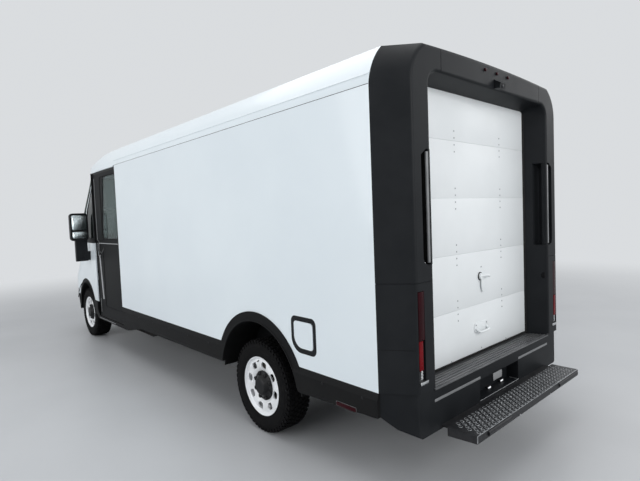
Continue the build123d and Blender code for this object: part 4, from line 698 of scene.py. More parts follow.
def make_tyre(tag, wheel):
    centre, radius, half, side = wheel["centre"], wheel["radius"], wheel["half"], wheel["side"]
    shape = bmesh.new()
    outer = sidewall(radius, half)
    ring = [(r, y) for r, y in outer] + [(r, -y) for r, y in outer[-2::-1]]
    turned(shape, ring + ring[:1], centre, (0, side, 0), 96)
    rows = [(0.366, 0.0, 0.0, 0.20, (0.0110, 0.0270, 0.0300)),
            (0.366, 0.0335, 0.5, 0.0, (0.0110, 0.0270, 0.0290)),
            (0.366, -0.0335, 0.5, 0.0, (0.0110, 0.0270, 0.0290)),
            (0.3640, 0.0680, 0.0, -0.12, (0.0140, 0.0300, 0.0275)),
            (0.3640, -0.0680, 0.0, 0.12, (0.0140, 0.0300, 0.0275)),
            (0.3560, 0.0925, 0.0, -0.05, (0.0190, 0.0170, 0.0255)),
            (0.3560, -0.0925, 0.0, 0.05, (0.0190, 0.0170, 0.0255)),
            (0.3420, 0.1015, 0.5, 0.0, (0.0150, 0.0140, 0.0150)),
            (0.3420, -0.1015, 0.5, 0.0, (0.0150, 0.0140, 0.0150))]
    count = 54
    for high, across, phase, skewed, size in rows:
        mesh = evaluate(tread, tyre_rubber, {
            "Centre": centre, "Blocks": count, "Radius": high - 0.372 + radius - 0.0003, "Across": across,
            "Phase": phase * math.tau / count, "Skew": skewed, "Size": size})
        shape.from_mesh(mesh)
        bpy.data.meshes.remove(mesh)
    piece = settle("tyre_and_tread_" + tag, shape, tyre_rubber, "wheel_" + tag, 28)
    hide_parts("tyre_" + tag)
    return piece


tyres = {tag: make_tyre(tag, wheel) for tag, wheel in wheels.items()}
print("tyre faces:", {tag: len(t.data.polygons) for tag, t in tyres.items()})

# %% [markdown]
# ## Wheels
# A pressed steel rim is a disc welded into a barrel. Its section is turned round the axle, and eight
# hand holes are cut through the disc with a Boolean, because their pressed edges catch the light.
# Behind them is a brake disc, through one comes the tyre's valve, and the hub cap has eight lobes
# over the wheel nuts.

# %% Steel rims
def make_rim(tag, wheel):
    centre, side = wheel["centre"], wheel["side"]
    out = Vector((0, side, 0))
    section = [(0.2340, -0.104), (0.2355, -0.100), (0.2300, -0.094), (0.2120, -0.092), (0.1900, -0.070),
               (0.1880, 0.020), (0.2050, 0.060), (0.2300, 0.0920), (0.2355, 0.0980), (0.2350, 0.1030),
               (0.2310, 0.1035), (0.2270, 0.1000), (0.2235, 0.0930), (0.2180, 0.0860), (0.2120, 0.0830),
               (0.2060, 0.0850), (0.1950, 0.0900), (0.1750, 0.0925), (0.1550, 0.0905), (0.1400, 0.0860),
               (0.1280, 0.0800), (0.1150, 0.0690), (0.1050, 0.0660), (0.0900, 0.0450), (0.0620, 0.0440),
               (0.0600, 0.0360), (0.0950, 0.0350), (0.1150, 0.0560), (0.1400, 0.0760), (0.1750, 0.0820),
               (0.1980, 0.0760), (0.1960, 0.0300), (0.1820, 0.0220), (0.1840, -0.072), (0.2040, -0.102)]
    rim = bmesh.new()
    turned(rim, section + section[:1], centre, out, 96)
    holes = bmesh.new()
    for k in range(8):
        a = math.tau * (k + 0.25) / 8
        radial, round_way = Vector((math.cos(a), 0, math.sin(a))), Vector((-math.sin(a), 0, math.cos(a)))
        ends = []
        for depth in (0.055, 0.115):
            ends.append([holes.verts.new(centre + radial * (0.171 + u) + round_way * v + out * depth)
                         for u, v in rounded(0.052, 0.064, 0.020, 4)])
        for i in range(len(ends[0])):
            j = (i + 1) % len(ends[0])
            holes.faces.new((ends[0][i], ends[0][j], ends[1][j], ends[1][i]))
        holes.faces.new(ends[0])
        holes.faces.new(ends[1][::-1])
    piece = settle("steel_rim_" + tag, carve(rim, holes), rim_paint, "wheel_" + tag, 35)
    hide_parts("rim_" + tag)
    return piece


rims = {tag: make_rim(tag, wheel) for tag, wheel in wheels.items()}
print("rim faces:", len(rims["rl"].data.polygons))

# %% Brake discs, valves and hub cap lobes
def make_wheel_fittings(tag, wheel):
    centre, side = wheel["centre"], wheel["side"]
    body = "wheel_" + tag
    out = Vector((0, side, 0))
    disc = bmesh.new()
    turned(disc, [(0.100, 0.012), (0.174, 0.012), (0.176, 0.010), (0.176, -0.010), (0.174, -0.012),
                  (0.100, -0.012), (0.100, 0.012)], centre - out * 0.004, out, 64)
    settle("brake_disc_" + tag, disc, cast_iron, body, 30)
    valve = bmesh.new()
    angle = math.radians(79)
    radial = Vector((math.cos(angle), 0.0, math.sin(angle)))
    foot = centre + radial * 0.205 + out * 0.075
    tip = foot + out * 0.028 - radial * 0.012
    tube(valve, [foot - out * 0.01, foot, foot.lerp(tip, 0.7), tip], [0.0055, 0.0050, 0.0036, 0.0036], 10)
    settle("tyre_valve_" + tag, valve, rubber, body, 40)
    lobes = bmesh.new()
    for k in range(8):
        a = math.tau * (k + 0.5) / 8
        spot = centre + Vector((0.098 * math.cos(a), 0, 0.098 * math.sin(a))) + out * 0.060
        turned(lobes, [(0.0, 0.0), (0.0185, 0.0), (0.0185, 0.0300), (0.0165, 0.0350), (0.0128, 0.0368),
                       (0.0110, 0.0355), (0.0104, 0.0300), (0.0, 0.0290)], spot, out, 16)
        tube(lobes, [spot + out * 0.030, centre + (spot - centre) * 0.30 + out * 0.034], 0.0042, 6)
    turned(lobes, [(0.0, 0.117), (0.046, 0.117), (0.049, 0.1155), (0.052, 0.1175), (0.050, 0.1195),
                   (0.046, 0.1200), (0.0, 0.1195)], centre - out * 0.002, out, 40)
    settle("hub_cap_lobes_" + tag, lobes, cap_plastic, body, 35)


for tag, wheel in wheels.items():
    make_wheel_fittings(tag, wheel)
print("wheel fittings made for", len(wheels), "wheels")

# %% [markdown]
# ## The roll-up rear door
# The door is made of flat aluminium panels. Two columns of screw heads fasten its inner hinges, in
# groups of four at every joint between panels. A lock with its lever sits in the middle of the door,
# and a pull handle below it. Rubber seals close the gap to the frame. The screws repeat in lines, so
# they use the fastener tree.

# %% The door's five sections
seams = [1.014, 1.405, 1.797, 2.189]
edges = [roll_low.z] + seams + [roll_high.z]
sections = bmesh.new()
for low, high in zip(edges, edges[1:]):
    slab(sections, (door_x, roll_low.y, low), (roll_high.x, roll_high.y, high), 0.0030)
door_sections = settle("rear_door_sections", sections, door_paint, van, 30)
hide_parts("rollup_door")
print("door sections:", len(edges) - 1)

# %% Door screws
screws_a_seam = 4
door_screws = []
for y in (-0.345, 0.292):
    door_screws.append({"First": (door_x - 0.0006, y, seams[0] - 0.0735), "Step": (0, 0, 0.047),
                        "Count": screws_a_seam, "Row step": (0, 0, 0.3917), "Rows": len(seams),
                        "Turn": facing["-x"], "Radius": 0.0058, "Height": 0.0030, "Sides": 10})
for y, z in ((-0.036, 1.288), (0.388, 0.673), (-0.017, 0.684), (-0.400, 0.676)):
    door_screws.append({"First": (door_x - 0.0006, y, z), "Count": 1, "Turn": facing["-x"],
                        "Radius": 0.0055, "Height": 0.003, "Sides": 10})
grown("rear_door_screws", heads, screw_zinc, door_screws, van)
print("rear door screws:", sum(v["Count"] * v.get("Rows", 1) for v in door_screws))

# %% Door seals
door_half = 0.760
seal = bmesh.new()
for side in (-1, 1):
    prism(seal, [(door_x - 0.013, side * (door_half - 0.003)),
                 (door_x - 0.004, side * (door_half - 0.014)),
                 (door_x - 0.0004, side * (door_half - 0.018)),
                 (door_x - 0.0004, side * (door_half + 0.004))], "z", 0.655, 2.502, 0.0008)
slab(seal, (door_x - 0.012, -door_half + 0.004, 0.6545), (door_x - 0.0004, door_half - 0.004, 0.6680), 0.003)
settle("rear_door_seals", seal, rubber, van, 30)

# %% Lock, lever and pull handle
lock = Vector((door_x, -0.010, 1.221))
lever = bmesh.new()
turned(lever, [(0.0, -0.001), (0.040, -0.001), (0.040, 0.0020), (0.038, 0.0035), (0.030, 0.0040)],
       lock, (-1, 0, 0), 32)
turned(lever, [(0.0245, 0.0), (0.0245, 0.016), (0.0225, 0.020), (0.0, 0.0225)], lock, (-1, 0, 0), 28)
lever_path = [lock + Vector(offset) for offset in ((-0.014, 0.006, 0.001), (-0.026, -0.018, 0.004),
                                                   (-0.030, -0.062, 0.002), (-0.026, -0.104, -0.006))]
tube(lever, curve_through(lever_path, 6), 0.0105, 12, flat=0.75)
prism(lever, [(-0.012, 1.196), (-0.016, 1.138), (-0.026, 1.108), (-0.042, 1.100), (-0.056, 1.108),
              (-0.064, 1.140), (-0.064, 1.196)], "x", door_x - 0.014, door_x - 0.006, 0.002)
prism(lever, rounded(0.190, 0.066, 0.012, 5, (-0.012, 0.848)), "x", door_x - 0.0055, door_x + 0.001, 0.0015)
grip = [Vector((door_x - out, y, z)) for out, y, z in (
    (0.004, 0.062, 0.838), (0.022, 0.060, 0.828), (0.034, 0.050, 0.820), (0.036, -0.010, 0.818),
    (0.034, -0.072, 0.820), (0.022, -0.082, 0.828), (0.004, -0.084, 0.838))]
tube(lever, curve_through(grip, 4), 0.0095, 12)
settle("rear_door_lever_and_pull", lever, door_paint, van, 35)
ring = bmesh.new()
turned(ring, [(0.0245, 0.0028), (0.0315, 0.0028), (0.0315, 0.0075), (0.0290, 0.0095), (0.0245, 0.0095)],
       lock, (-1, 0, 0), 32)
settle("rear_door_lock_ring", ring, rubber, van, 40)
grown("pull_handle_screws", heads, screw_zinc, [
    {"First": (door_x - 0.0065, 0.062, 0.866), "Step": (0, -0.148, 0), "Count": 2, "Turn": facing["-x"],
     "Radius": 0.0060, "Height": 0.003, "Sides": 10}], van)
print("lock at", [round(v, 3) for v in lock])

# %% [markdown]
# ## Lamps in the rear frame
# Each rear lamp is one tall unit in a slot: a dark red lens over the stop and tail lights, a bright
# red reflector below it and a ribbed silver lens for the reversing light at the foot. Each lens is an
# outline pushed a little way out of the slot with rounded rims; fine ribs run across it.

# %% Place the lamp units
lamp_low, lamp_high = span("rear_lamps")
print("rear lamps:", [round(v, 3) for v in lamp_low], [round(v, 3) for v in lamp_high])

# %% Lens pieces, both sides
lamp_y, lamp_foot, lamp_half = 0.946, 0.705, 0.0285
lens_x = portal_x + 0.001


def lens_block(shape, side, low, high, near, far, x_out):
    """Lens panel from near to far across the slot, its outer rims rounded."""
    prism(shape, [(side * near, low), (side * far, low), (side * far, high), (side * near, high)], "x",
          x_out, portal_x + 0.0155, 0.0022)


dark, bright, silver, marks = bmesh.new(), bmesh.new(), bmesh.new(), bmesh.new()
for side in (-1, 1):
    lens_block(dark, side, lamp_foot + 0.262, lamp_foot + 0.547, lamp_y - lamp_half, lamp_y + lamp_half,
               lens_x)
    lens_block(bright, side, lamp_foot + 0.086, lamp_foot + 0.258, lamp_y - 0.010, lamp_y + lamp_half,
               lens_x + 0.001)
    for k in range(6):
        z = lamp_foot + 0.034 + 0.0085 * k
        slab(silver, (lens_x + 0.003, side * (lamp_y - 0.004), z),
             (portal_x + 0.012, side * (lamp_y + 0.014), z + 0.0055), 0.0015, 1)
    slab(silver, (portal_x - 0.0045, side * 0.897, lamp_foot + 0.001),
         (portal_x + 0.012, side * 0.972, lamp_foot + 0.020), 0.003)
for y in (-0.16, 0.0, 0.16):
    prism(marks, rounded(0.023, 0.019, 0.005, 4, (y, 2.650)), "x", portal_x - 0.0098,
          portal_x + 0.0035, 0.003)
lenses = settle("rear_lamp_stop_lenses", dark, dark_red, van)
settle("rear_lamp_reflectors", bright, bright_red, van)
settle("rear_lamp_silver_parts", silver, bright_alloy, van)
settle("rear_marker_lamps", marks, dark_red, van)
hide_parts("rear_lamps")

# %% Lamp housing behind the lenses
housing = bmesh.new()
for side in (-1, 1):
    slab(housing, (portal_x + 0.011, side * (lamp_y - 0.030), lamp_foot + 0.002),
         (portal_x + 0.0158, side * (lamp_y + 0.030), lamp_foot + 0.548), 0.001, 1)
settle("rear_lamp_housings", housing, gloss_black, van)
print("rear lamps at y", lamp_y, "and -", lamp_y)

# %% [markdown]
# ## Small fittings on the rear frame
# A camera looks down from the frame's top, a button for the step sits inside the right-hand post, and
# fine shut lines part the frame into a service panel and its neighbours. The lines are thin dark
# strips laid just over the surface, found with a ray where the surface slopes.

# %% Camera, button and shut lines
camera_parts = bmesh.new()
facet_low, facet_high = Vector((portal_x - 0.040, 0, 2.542)), Vector((portal_x - 0.048, 0, 2.576))
facet_out = Vector((-(facet_high.z - facet_low.z), 0, facet_high.x - facet_low.x)).normalized()
eye = (facet_low + facet_high) / 2 - facet_out * 0.0025
turned(camera_parts, [(0.0, 0.0), (0.0155, 0.0), (0.0155, 0.0030), (0.0140, 0.0042), (0.0120, 0.0042),
                      (0.0105, 0.0030), (0.0, 0.0028)], eye, facet_out, 28)
settle("rear_camera_ring", camera_parts, grained_black, van, 30)
camera_eye = bmesh.new()
turned(camera_eye, [(0.0, 0.0), (0.0100, 0.0), (0.0100, 0.0030), (0.0085, 0.0048), (0.0060, 0.0060),
                    (0.0030, 0.0068), (0.0, 0.0070)], eye, facet_out, 28)
settle("rear_camera_lens", camera_eye, black_lens, van, 50)
button = bmesh.new()
slab(button, (portal_x + 0.024, -0.826, 1.119), (portal_x + 0.059, -0.806, 1.169), 0.003)
slab(button, (portal_x + 0.030, -0.826, 1.128), (portal_x + 0.053, -0.8035, 1.160), 0.002)
settle("step_button", button, door_black, van)


def laid_line(shape, points, node, ahead, wide, lift=0.0006, steps=10):
    """Thin strip laid over a node's surface along a path, found with rays."""
    path = []
    for a, b in zip(points, points[1:]):
        for k in range(steps + (1 if b == points[-1] else 0)):
            path.append(Vector(a).lerp(Vector(b), k / steps))
    ahead = Vector(ahead).normalized()
    hits = []
    for spot in path:
        try:
            hits.append(probe(node, spot - ahead * 0.3, ahead))
        except ValueError:
            continue
    for (p, n), (q, m) in zip(hits, hits[1:]):
        if (q - p).length > 1e-4:
            bar(shape, p + n * lift / 2, q + m * lift / 2, wide, lift, n + m)


lines = bmesh.new()
for side in (-1, 1):
    laid_line(lines, [(-3.245, side * 1.115, 0.915), (-3.405, side * 0.990, 0.915)], "rear_frame",
              (0.5, -side, 0), 0.0035)
    laid_line(lines, [(portal_x, side * 0.975, 0.915), (portal_x, side * 0.900, 0.915)], "rear_frame",
              (1, 0, 0), 0.0035, steps=3)
settle("rear_frame_shut_lines", lines, sill_black, van)
print("shut lines laid")

# %% [markdown]
# ## Rear bumper, number plate recess and step
# The bumper is a ribbed moulding. The light grey strips on its shoulders are painted highlight along
# the top of a ledge. In the recess below sit two plate lamps, two bolts and an empty plate. The step
# hangs under it on a frame: a sheet pressed with rows of raised holes, which grip a boot and drain rain.
# Its holes repeat in rows, so Geometry Nodes set out collars in a lighter steel, which is painted
# highlight on the raised rims, and dark discs, which are painted shade seen through the holes.

# %% Bumper strips: painted highlights along the ledges
strips = bmesh.new()
for low, high in ((0.277, 0.815), (-0.815, -0.290)):
    slab(strips, (bumper_low.x - 0.0014, low, 0.559), (bumper_low.x + 0.003, high, 0.577), 0.0012)
settle("bumper_ledge_highlights", strips, highlight_grey, van)

# %% Fittings in the plate recess
wall_x = bumper_low.x + 0.092
plates = bmesh.new()
prism(plates, rounded(0.133, 0.055, 0.004, 3, (-0.1355, 0.4585)), "x", wall_x - 0.004,
      wall_x - 0.0005, 0.0008)
settle("blank_plate", plates, wall_grey, van)
recess = bmesh.new()
for y, z in ((0.026, 0.410), (-0.160, 0.413)):
    prism(recess, rounded(0.050, 0.017, 0.005, 4, (y, z)), "x", wall_x - 0.022, wall_x - 0.0005, 0.003)
settle("plate_lamp_housings", recess, gloss_black, van)
# The lenses' glow is a painted highlight that gives the glints on the plate lamps.
glow = bmesh.new()
for y, z in ((0.026, 0.4115), (-0.160, 0.4145)):
    prism(glow, rounded(0.036, 0.010, 0.003, 3, (y, z)), "x", wall_x - 0.0245, wall_x - 0.020, 0.001)
settle("plate_lamp_lenses", glow, lit_white, van)
grown("recess_bolts", heads, screw_zinc, [
    {"First": (wall_x - 0.0025, 0.021, 0.524), "Step": (0, -0.174, 0.004), "Count": 2, "Turn": facing["-x"],
     "Radius": 0.0075, "Height": 0.005, "Sides": 6, "Top": 0.9}], van)
print("plate recess fitted at x", round(wall_x, 3))

# %% Painted highlights along the recess's lower edge and the step's lip
edge_highlights = bmesh.new()
slab(edge_highlights, (bumper_low.x - 0.001, -0.284, 0.4045), (bumper_low.x + 0.004, 0.284, 0.4085), 0.0008, 1)
slab(edge_highlights, (bumper_low.x - 0.001, -0.292, 0.4045), (bumper_low.x + 0.070, -0.284, 0.4110), 0.0015, 1)
slab(edge_highlights, (step_low.x + 0.0095, step_low.y + 0.004, step_high.z - 0.0012),
     (step_low.x + 0.0150, step_high.y - 0.004, step_high.z + 0.0016), 0.0008, 1)
slab(edge_highlights, (step_low.x + 0.0100, step_high.y - 0.005, step_high.z - 0.044),
     (step_low.x + 0.0140, step_high.y + 0.0008, step_high.z + 0.0010), 0.0008, 1)
settle("step_and_recess_edge_highlights", edge_highlights, highlight_steel, van)
grown("step_lip_bolts", heads, bright_alloy, [
    {"First": (step_low.x + 0.0095, 0.240, 0.372), "Step": (0, -0.48, 0), "Count": 2, "Turn": facing["-x"],
     "Radius": 0.0070, "Height": 0.005, "Sides": 6, "Top": 0.9}], van)

# %% Painted highlight on the grab bars' sides and painted shade in the gap behind them
# The grey strip is painted highlight on each bar's lit side. The dark block behind it is painted shade in the
# gap between the bar and the pocket's wall.
lit_side_highlight, shaded_gap_fill = bmesh.new(), bmesh.new()
for side in (-1, 1):
    prism(lit_side_highlight, [(portal_x + 0.004, side * 0.8365), (portal_x + 0.004, side * 0.8560),
                      (portal_x + 0.011, side * 0.8575), (portal_x + 0.011, side * 0.8365)],
          "z", 1.412, 2.062, 0.002)
    prism(shaded_gap_fill, [(portal_x + 0.011, side * 0.8365), (portal_x + 0.011, side * 0.8530),
                      (portal_x + 0.046, side * 0.8530), (portal_x + 0.046, side * 0.8365)],
          "z", 1.412, 2.062, 0.002)
settle("grab_bar_highlights", lit_side_highlight, highlight_grey, van)
settle("grab_bar_shaded_gaps", shaded_gap_fill, rubber, van)

# %% Perforated step tread
collars = new_tree("step_collars", grid_inputs + [("Hole", "Float", 0.0085), ("Wall", "Float", 0.0022)])
ring = step(collars, "GeometryNodeCurvePrimitiveCircle", {"Resolution": 12, "Radius": asks(collars, "Hole")},
            mode="RADIUS")
wall = step(collars, "GeometryNodeCurvePrimitiveCircle", {"Resolution": 5, "Radius": asks(collars, "Wall")},
            mode="RADIUS")
collar = step(collars, "GeometryNodeCurveToMesh", {"Curve": ring, "Profile Curve": wall})
close_tree(collars, step(collars, "GeometryNodeInstanceOnPoints",
                         {"Points": lines_of_points(collars), "Instance": collar}))
# Each dark disc fills a hole's opening with painted shade, which stands for the shade under the step seen
# through the hole.
hole_shades = new_tree("hole_shade_discs", grid_inputs + [("Hole", "Float", 0.0085)])
disc = step(hole_shades, "GeometryNodeMeshCone", {"Vertices": 12, "Radius Top": asks(hole_shades, "Hole"),
                                            "Radius Bottom": asks(hole_shades, "Hole"), "Depth": 0.0006})
close_tree(hole_shades, step(hole_shades, "GeometryNodeInstanceOnPoints", {"Points": lines_of_points(hole_shades),
                                                              "Instance": disc}))
tread_y = (step_low.y + 0.050, step_high.y - 0.050)
columns, rows = 33, 6
pitch_y = (tread_y[1] - tread_y[0]) / (columns - 1)
pitch_x = 0.0300
first = (step_low.x + 0.030, tread_y[0], step_high.z)
staggered = []
for k in range(rows):
    shift = pitch_y / 2 if k % 2 else 0.0
    staggered.append({"First": (first[0] + pitch_x * k, first[1] + shift, first[2] - 0.0014),
                      "Step": (0, pitch_y, 0), "Count": columns - (k % 2)})
# The collars' lighter steel is painted highlight on the raised rims, and the dark discs below are painted
# shade.
grown("step_tread_collars", collars, highlight_steel, [{**v, "Hole": 0.0115, "Wall": 0.0034} for v in staggered],
      van, 50)
grown("step_tread_painted_shade", hole_shades, rubber,
      [{**v, "First": (v["First"][0], v["First"][1], step_high.z + 0.0001), "Hole": 0.0102}
       for v in staggered],
      van, 30)
print("step holes:", sum(v["Count"] for v in staggered))

# %% [markdown]
# ## Wheel arches, sills and side panels
# Black arch mouldings stand a little proud, with a rolled inner lip, and clips hold the sill panels.
# A thin shadow line runs where the side panel meets the roof rail. The lip is a round bar that
# follows the arch, and the clips are fastener heads in a line.

# %% Arch lips
lips = bmesh.new()
for side in (-1, 1):
    for middle, radius, out, first, last in ((axle_x, 0.5315, skin_y + 0.0090, 14, 168),
                                             (steer_x, 0.4715, skin_y - 0.0090, 16, 160)):
        arc = [Vector((middle - radius * math.cos(math.radians(a)), side * out,
                       axle_z + radius * math.sin(math.radians(a)))) for a in range(first, last, 4)]
        tube(lips, arc, 0.0055, 8)
settle("arch_lips", lips, sill_black, van)

# %% Seam along the roof rail
seam = bmesh.new()
for side in (-1, 1):
    slab(seam, (panel_low.x + 0.004, side * (skin_y - 0.002), 2.4515),
         (panel_high.x, side * (skin_y + 0.0006), 2.4550), 0.0005, 1)
settle("side_seam_seals", seam, rubber, van)
clips = []
for side, face in ((1, "+y"), (-1, "-y")):
    for first_x, pitch_x, count in ((-1.20, 0.42, 5), (-3.10, 0.36, 2)):
        clips.append({"First": (first_x, side * (skin_y + 0.0142), 0.600), "Step": (pitch_x, 0, 0),
                      "Count": count, "Turn": facing[face], "Radius": 0.0085, "Height": 0.003,
                      "Sides": 12, "Top": 0.8})
grown("sill_clips", heads, cap_plastic, clips, van)
print("sill clips:", sum(v["Count"] for v in clips))

# %% [markdown]
# ## Side reflectors
# A dark red reflector sits low behind each rear wheel. It is a rounded lens on a black backing, set
# where a ray meets the sill. A thin light strip edges the entry under each side door.

# %% Reflectors and entry strips
red_marks, backs = bmesh.new(), bmesh.new()
for side, node in ((1, "cladding_l"), (-1, "cladding_r")):
    spot, out = probe(node, (-2.96, side * 1.4, 0.506), (0, -side, 0))
    for shape, half_x, half_z, near, far in ((backs, 0.092, 0.018, -0.004, 0.0022),
                                             (red_marks, 0.086, 0.013, 0.0, 0.0055)):
        prism(shape, rounded(2 * half_x, 2 * half_z, 0.008, 4, (spot.x, spot.z)), "y",
              spot.y + side * near, spot.y + side * far, 0.0015)
treads = bmesh.new()
for side, node in ((1, "cladding_l"), (-1, "cladding_r")):
    laid_line(treads, [(1.42, side * skin_y, 0.378), (2.08, side * skin_y, 0.378)], node, (0, -side, 0),
              0.007, 0.0012, 8)
settle("entry_sill_strips", treads, wall_grey, van)
settle("side_reflectors", red_marks, dark_red, van)
settle("side_reflector_backs", backs, gloss_black, van)
print("reflectors at x -2.96")

# %% [markdown]
# ## Cab side doors
# Each sliding door is black, with a tall window in a rubber frame, a shut line, a slanting light cover
# strip over its mechanism and a keypad box. The frame's rubber is an outline with a rounded hole, so
# it is a tube that follows a rounded rectangle. Everything here slides with the door.

# %% Door trim
window_low, window_high = span("door_glass_l")
door_skin_y = 1.1002


def make_door_trim(side, body):
    face = side * door_skin_y
    mid = ((window_low.x + window_high.x) / 2, (window_low.z + window_high.z) / 2)
    size = (window_high.x - window_low.x, window_high.z - window_low.z)
    frame_rubber = bmesh.new()
    path = [Vector((x, side * 1.0995, z))
            for x, z in rounded(size[0] + 0.006, size[1] + 0.006, 0.06, 8, mid)]
    tube(frame_rubber, path, 0.0085, 8, closed=True, flat=0.62)
    settle("door_window_rubber_" + body[-1], frame_rubber, rubber, body)
    rails = bmesh.new()
    slab(rails, (window_low.x + 0.06, side * 1.0775, 1.905), (window_high.x - 0.035, side * 1.0850, 1.925),
         0.003)
    for x in (window_high.x - 0.052, window_high.x - 0.118):
        slab(rails, (x, side * 1.0765, window_low.z + 0.02), (x + 0.014, side * 1.0840, window_high.z - 0.02),
             0.003)
    settle("door_window_bars_" + body[-1], rails, cap_plastic, body)
    cover = bmesh.new()
    top, foot = Vector((1.919, face, 1.288)), Vector((1.850, face, 0.668))
    bar(cover, top, foot, 0.046, 0.0085, (0, side, 0))
    bar(cover, (1.985, face, 2.36), (1.985, face, 0.47), 0.008, 0.004, (0, side, 0))
    slab(cover, (1.150, face, 1.448), (1.990, face + side * 0.0045, 1.458), 0.0015, 1)
    settle("door_cover_strip_" + body[-1], cover, wall_grey, body)
    box = bmesh.new()
    prism(box, rounded(0.076, 0.210, 0.018, 5, (1.939, 1.392)), "y", face - side * 0.002,
          face + side * 0.0068, 0.0025)
    pull = curve_through([(1.905, face + side * 0.001, 1.335), (1.840, face + side * 0.0032, 1.318),
                          (1.770, face + side * 0.0036, 1.345), (1.720, face + side * 0.001, 1.390)], 8)
    tube(box, pull, 0.0075, 10, flat=0.6)
    for row in range(4):
        for column in range(2):
            x, z = 1.927 + 0.024 * column, 1.345 + 0.022 * row
            prism(box, rounded(0.016, 0.014, 0.003, 3, (x, z)), "y", face, face + side * 0.0085, 0.001, 1)
    settle("door_keypad_" + body[-1], box, gloss_black, body)


make_door_trim(1, "side_door_l")
make_door_trim(-1, "side_door_r")
print("door trim made for both sides")

# %% [markdown]
# ## Mirrors
# Each mirror head holds a large flat glass over a small curved wide-angle one, with a thin black rim,
# and a turn lamp in its outer edge. A mirror's glass is a metal with low roughness. Both glasses are
# rounded outlines pushed along the van, and each rim is a thin tube round its glass.

# %% Mirror glasses
mirror_low = span("mirrors")[0]
glasses, rims_of_glass, turn_lamps = bmesh.new(), bmesh.new(), bmesh.new()
for side in (-1, 1):
    y = side * 1.230
    for z, high in ((1.754, 0.212), (1.574, 0.094)):
        prism(glasses, rounded(0.194, high, 0.024, 6, (y, z)), "x", mirror_low.x + 0.0012,
              mirror_low.x + 0.007, 0.0012)
        path = [Vector((mirror_low.x + 0.0028, a, b))
                for a, b in rounded(0.202, high + 0.008, 0.027, 6, (y, z))]
        tube(rims_of_glass, path, 0.0026, 6, closed=True)
    slab(turn_lamps, (mirror_low.x + 0.050, side * 1.340, 1.60), (mirror_low.x + 0.066, side * 1.3498, 1.76),
         0.004)
settle("mirror_glasses", glasses, mirror_face, van, 30)
settle("mirror_glass_rims", rims_of_glass, gloss_black, van)
settle("mirror_turn_lamps", turn_lamps, amber_lens, van)
print("mirror glasses at x", round(mirror_low.x, 3))

# %% [markdown]
# ## The front
# The nose carries two upright lamps joined by a thin light bar, the windscreen with a printed black
# border, two wipers, parking sensors and five amber lamps along the brow. The nose is curved, so every
# piece is set along points found by rays on the face it belongs to.

# %% Lamps in the nose
nose_lamp_y, nose_lamp_z = 0.61, 1.015
bezels, bowls, glow = bmesh.new(), bmesh.new(), bmesh.new()
for side in (-1, 1):
    path = []
    middle_y = side * nose_lamp_y
    for y, z in rounded(0.098, 0.170, 0.0485, 8, (middle_y, nose_lamp_z)):
        spot, out = probe("front_lamps", (nose_ray_x, middle_y + (y - middle_y) * 0.97,
                                          nose_lamp_z + (z - nose_lamp_z) * 0.985), (-1, 0, 0))
        path.append(Vector((spot.x, middle_y + (y - middle_y) * 1.04,
                            nose_lamp_z + (z - nose_lamp_z) * 1.02)) + out * 0.0005)
    tube(bezels, path, 0.0042, 6, closed=True)
    for z in (0.962, nose_lamp_z, 1.068):
        spot, out = probe("front_lamps", (nose_ray_x, middle_y, z), (-1, 0, 0))
        turned(bowls, [(0.0175, -0.003), (0.0200, -0.003), (0.0208, 0.0), (0.0200, 0.0022), (0.0175, 0.0016),
                       (0.0150, -0.001)], spot, out, 24)
        turned(glow, [(0.0, -0.002), (0.0148, -0.002), (0.0148, 0.0005), (0.0110, 0.0030), (0.0055, 0.0046),
                      (0.0, 0.0050)], spot, out, 24)
bar_path = [probe("front_lamps", (nose_ray_x, -0.555 + 0.037 * k, nose_lamp_z), (-1, 0, 0))
            for k in range(31)]
tube(glow, [p + n * 0.0003 for p, n in bar_path], 0.0035, 6)
settle("nose_lamp_bezels", bezels, gloss_black, van)
settle("nose_lamp_bowls", bowls, bright_alloy, van)
settle("nose_lamp_lights", glow, lit_white, van, 50)

# %% Amber lamps on the brow
ambers = bmesh.new()
brow_y, brow_z = (-0.64, -0.17, 0.0, 0.17, 0.64), 2.474
for y in brow_y:
    spot, out = probe("front_lamps", (nose_ray_x, y * 0.97, brow_z), (-1, 0, 0))
    across = Vector((-out.y, out.x, 0)).normalized() * 0.026
    spot = Vector((spot.x, y, brow_z))
    bar(ambers, spot - across, spot + across, 0.019, 0.006, out)
settle("brow_lamps", ambers, amber_lens, van)
print("brow lamps:", len(brow_y))

# %% Windscreen border
border = bmesh.new()
for z, wide in ((1.530, 0.055), (2.412, 0.034)):
    laid_line(border, [(3.6, -0.93 + 0.186 * k, z) for k in range(11)], "cab_glass", (-1, 0, 0), wide,
              0.0008, 2)
settle("windscreen_border", border, gloss_black, van, 60)

# %% Wipers
arms, blades = bmesh.new(), bmesh.new()
for pivot_y, tip_y in ((0.62, 0.06), (-0.10, -0.66)):
    swept = [probe("cab_glass", (nose_ray_x, pivot_y + (tip_y - pivot_y) * t, 1.575 + 0.055 * t), (-1, 0, 0))
             for t in (0.0, 0.2, 0.4, 0.6, 0.8, 1.0)]
    tube(blades, [p + n * 0.007 for p, n in swept], 0.0050, 6)
    tube(arms, [p + n * 0.013 for p, n in swept[1:5]], 0.0035, 6)
    base, out = probe("cab_glass", (nose_ray_x, pivot_y - 0.02, 1.515), (-1, 0, 0))
    middle = swept[3][0] + swept[3][1] * 0.020
    tube(arms, curve_through([base + out * 0.006, base + out * 0.030 + Vector((0, -0.03, 0.012)),
                              base.lerp(middle, 0.6) + out * 0.022, middle], 6), 0.0065, 8, flat=0.6)
    turned(arms, [(0.0, 0.0), (0.020, 0.0), (0.020, 0.020), (0.014, 0.028), (0.0, 0.030)], base, out, 20)
settle("wiper_arms", arms, cap_plastic, van)
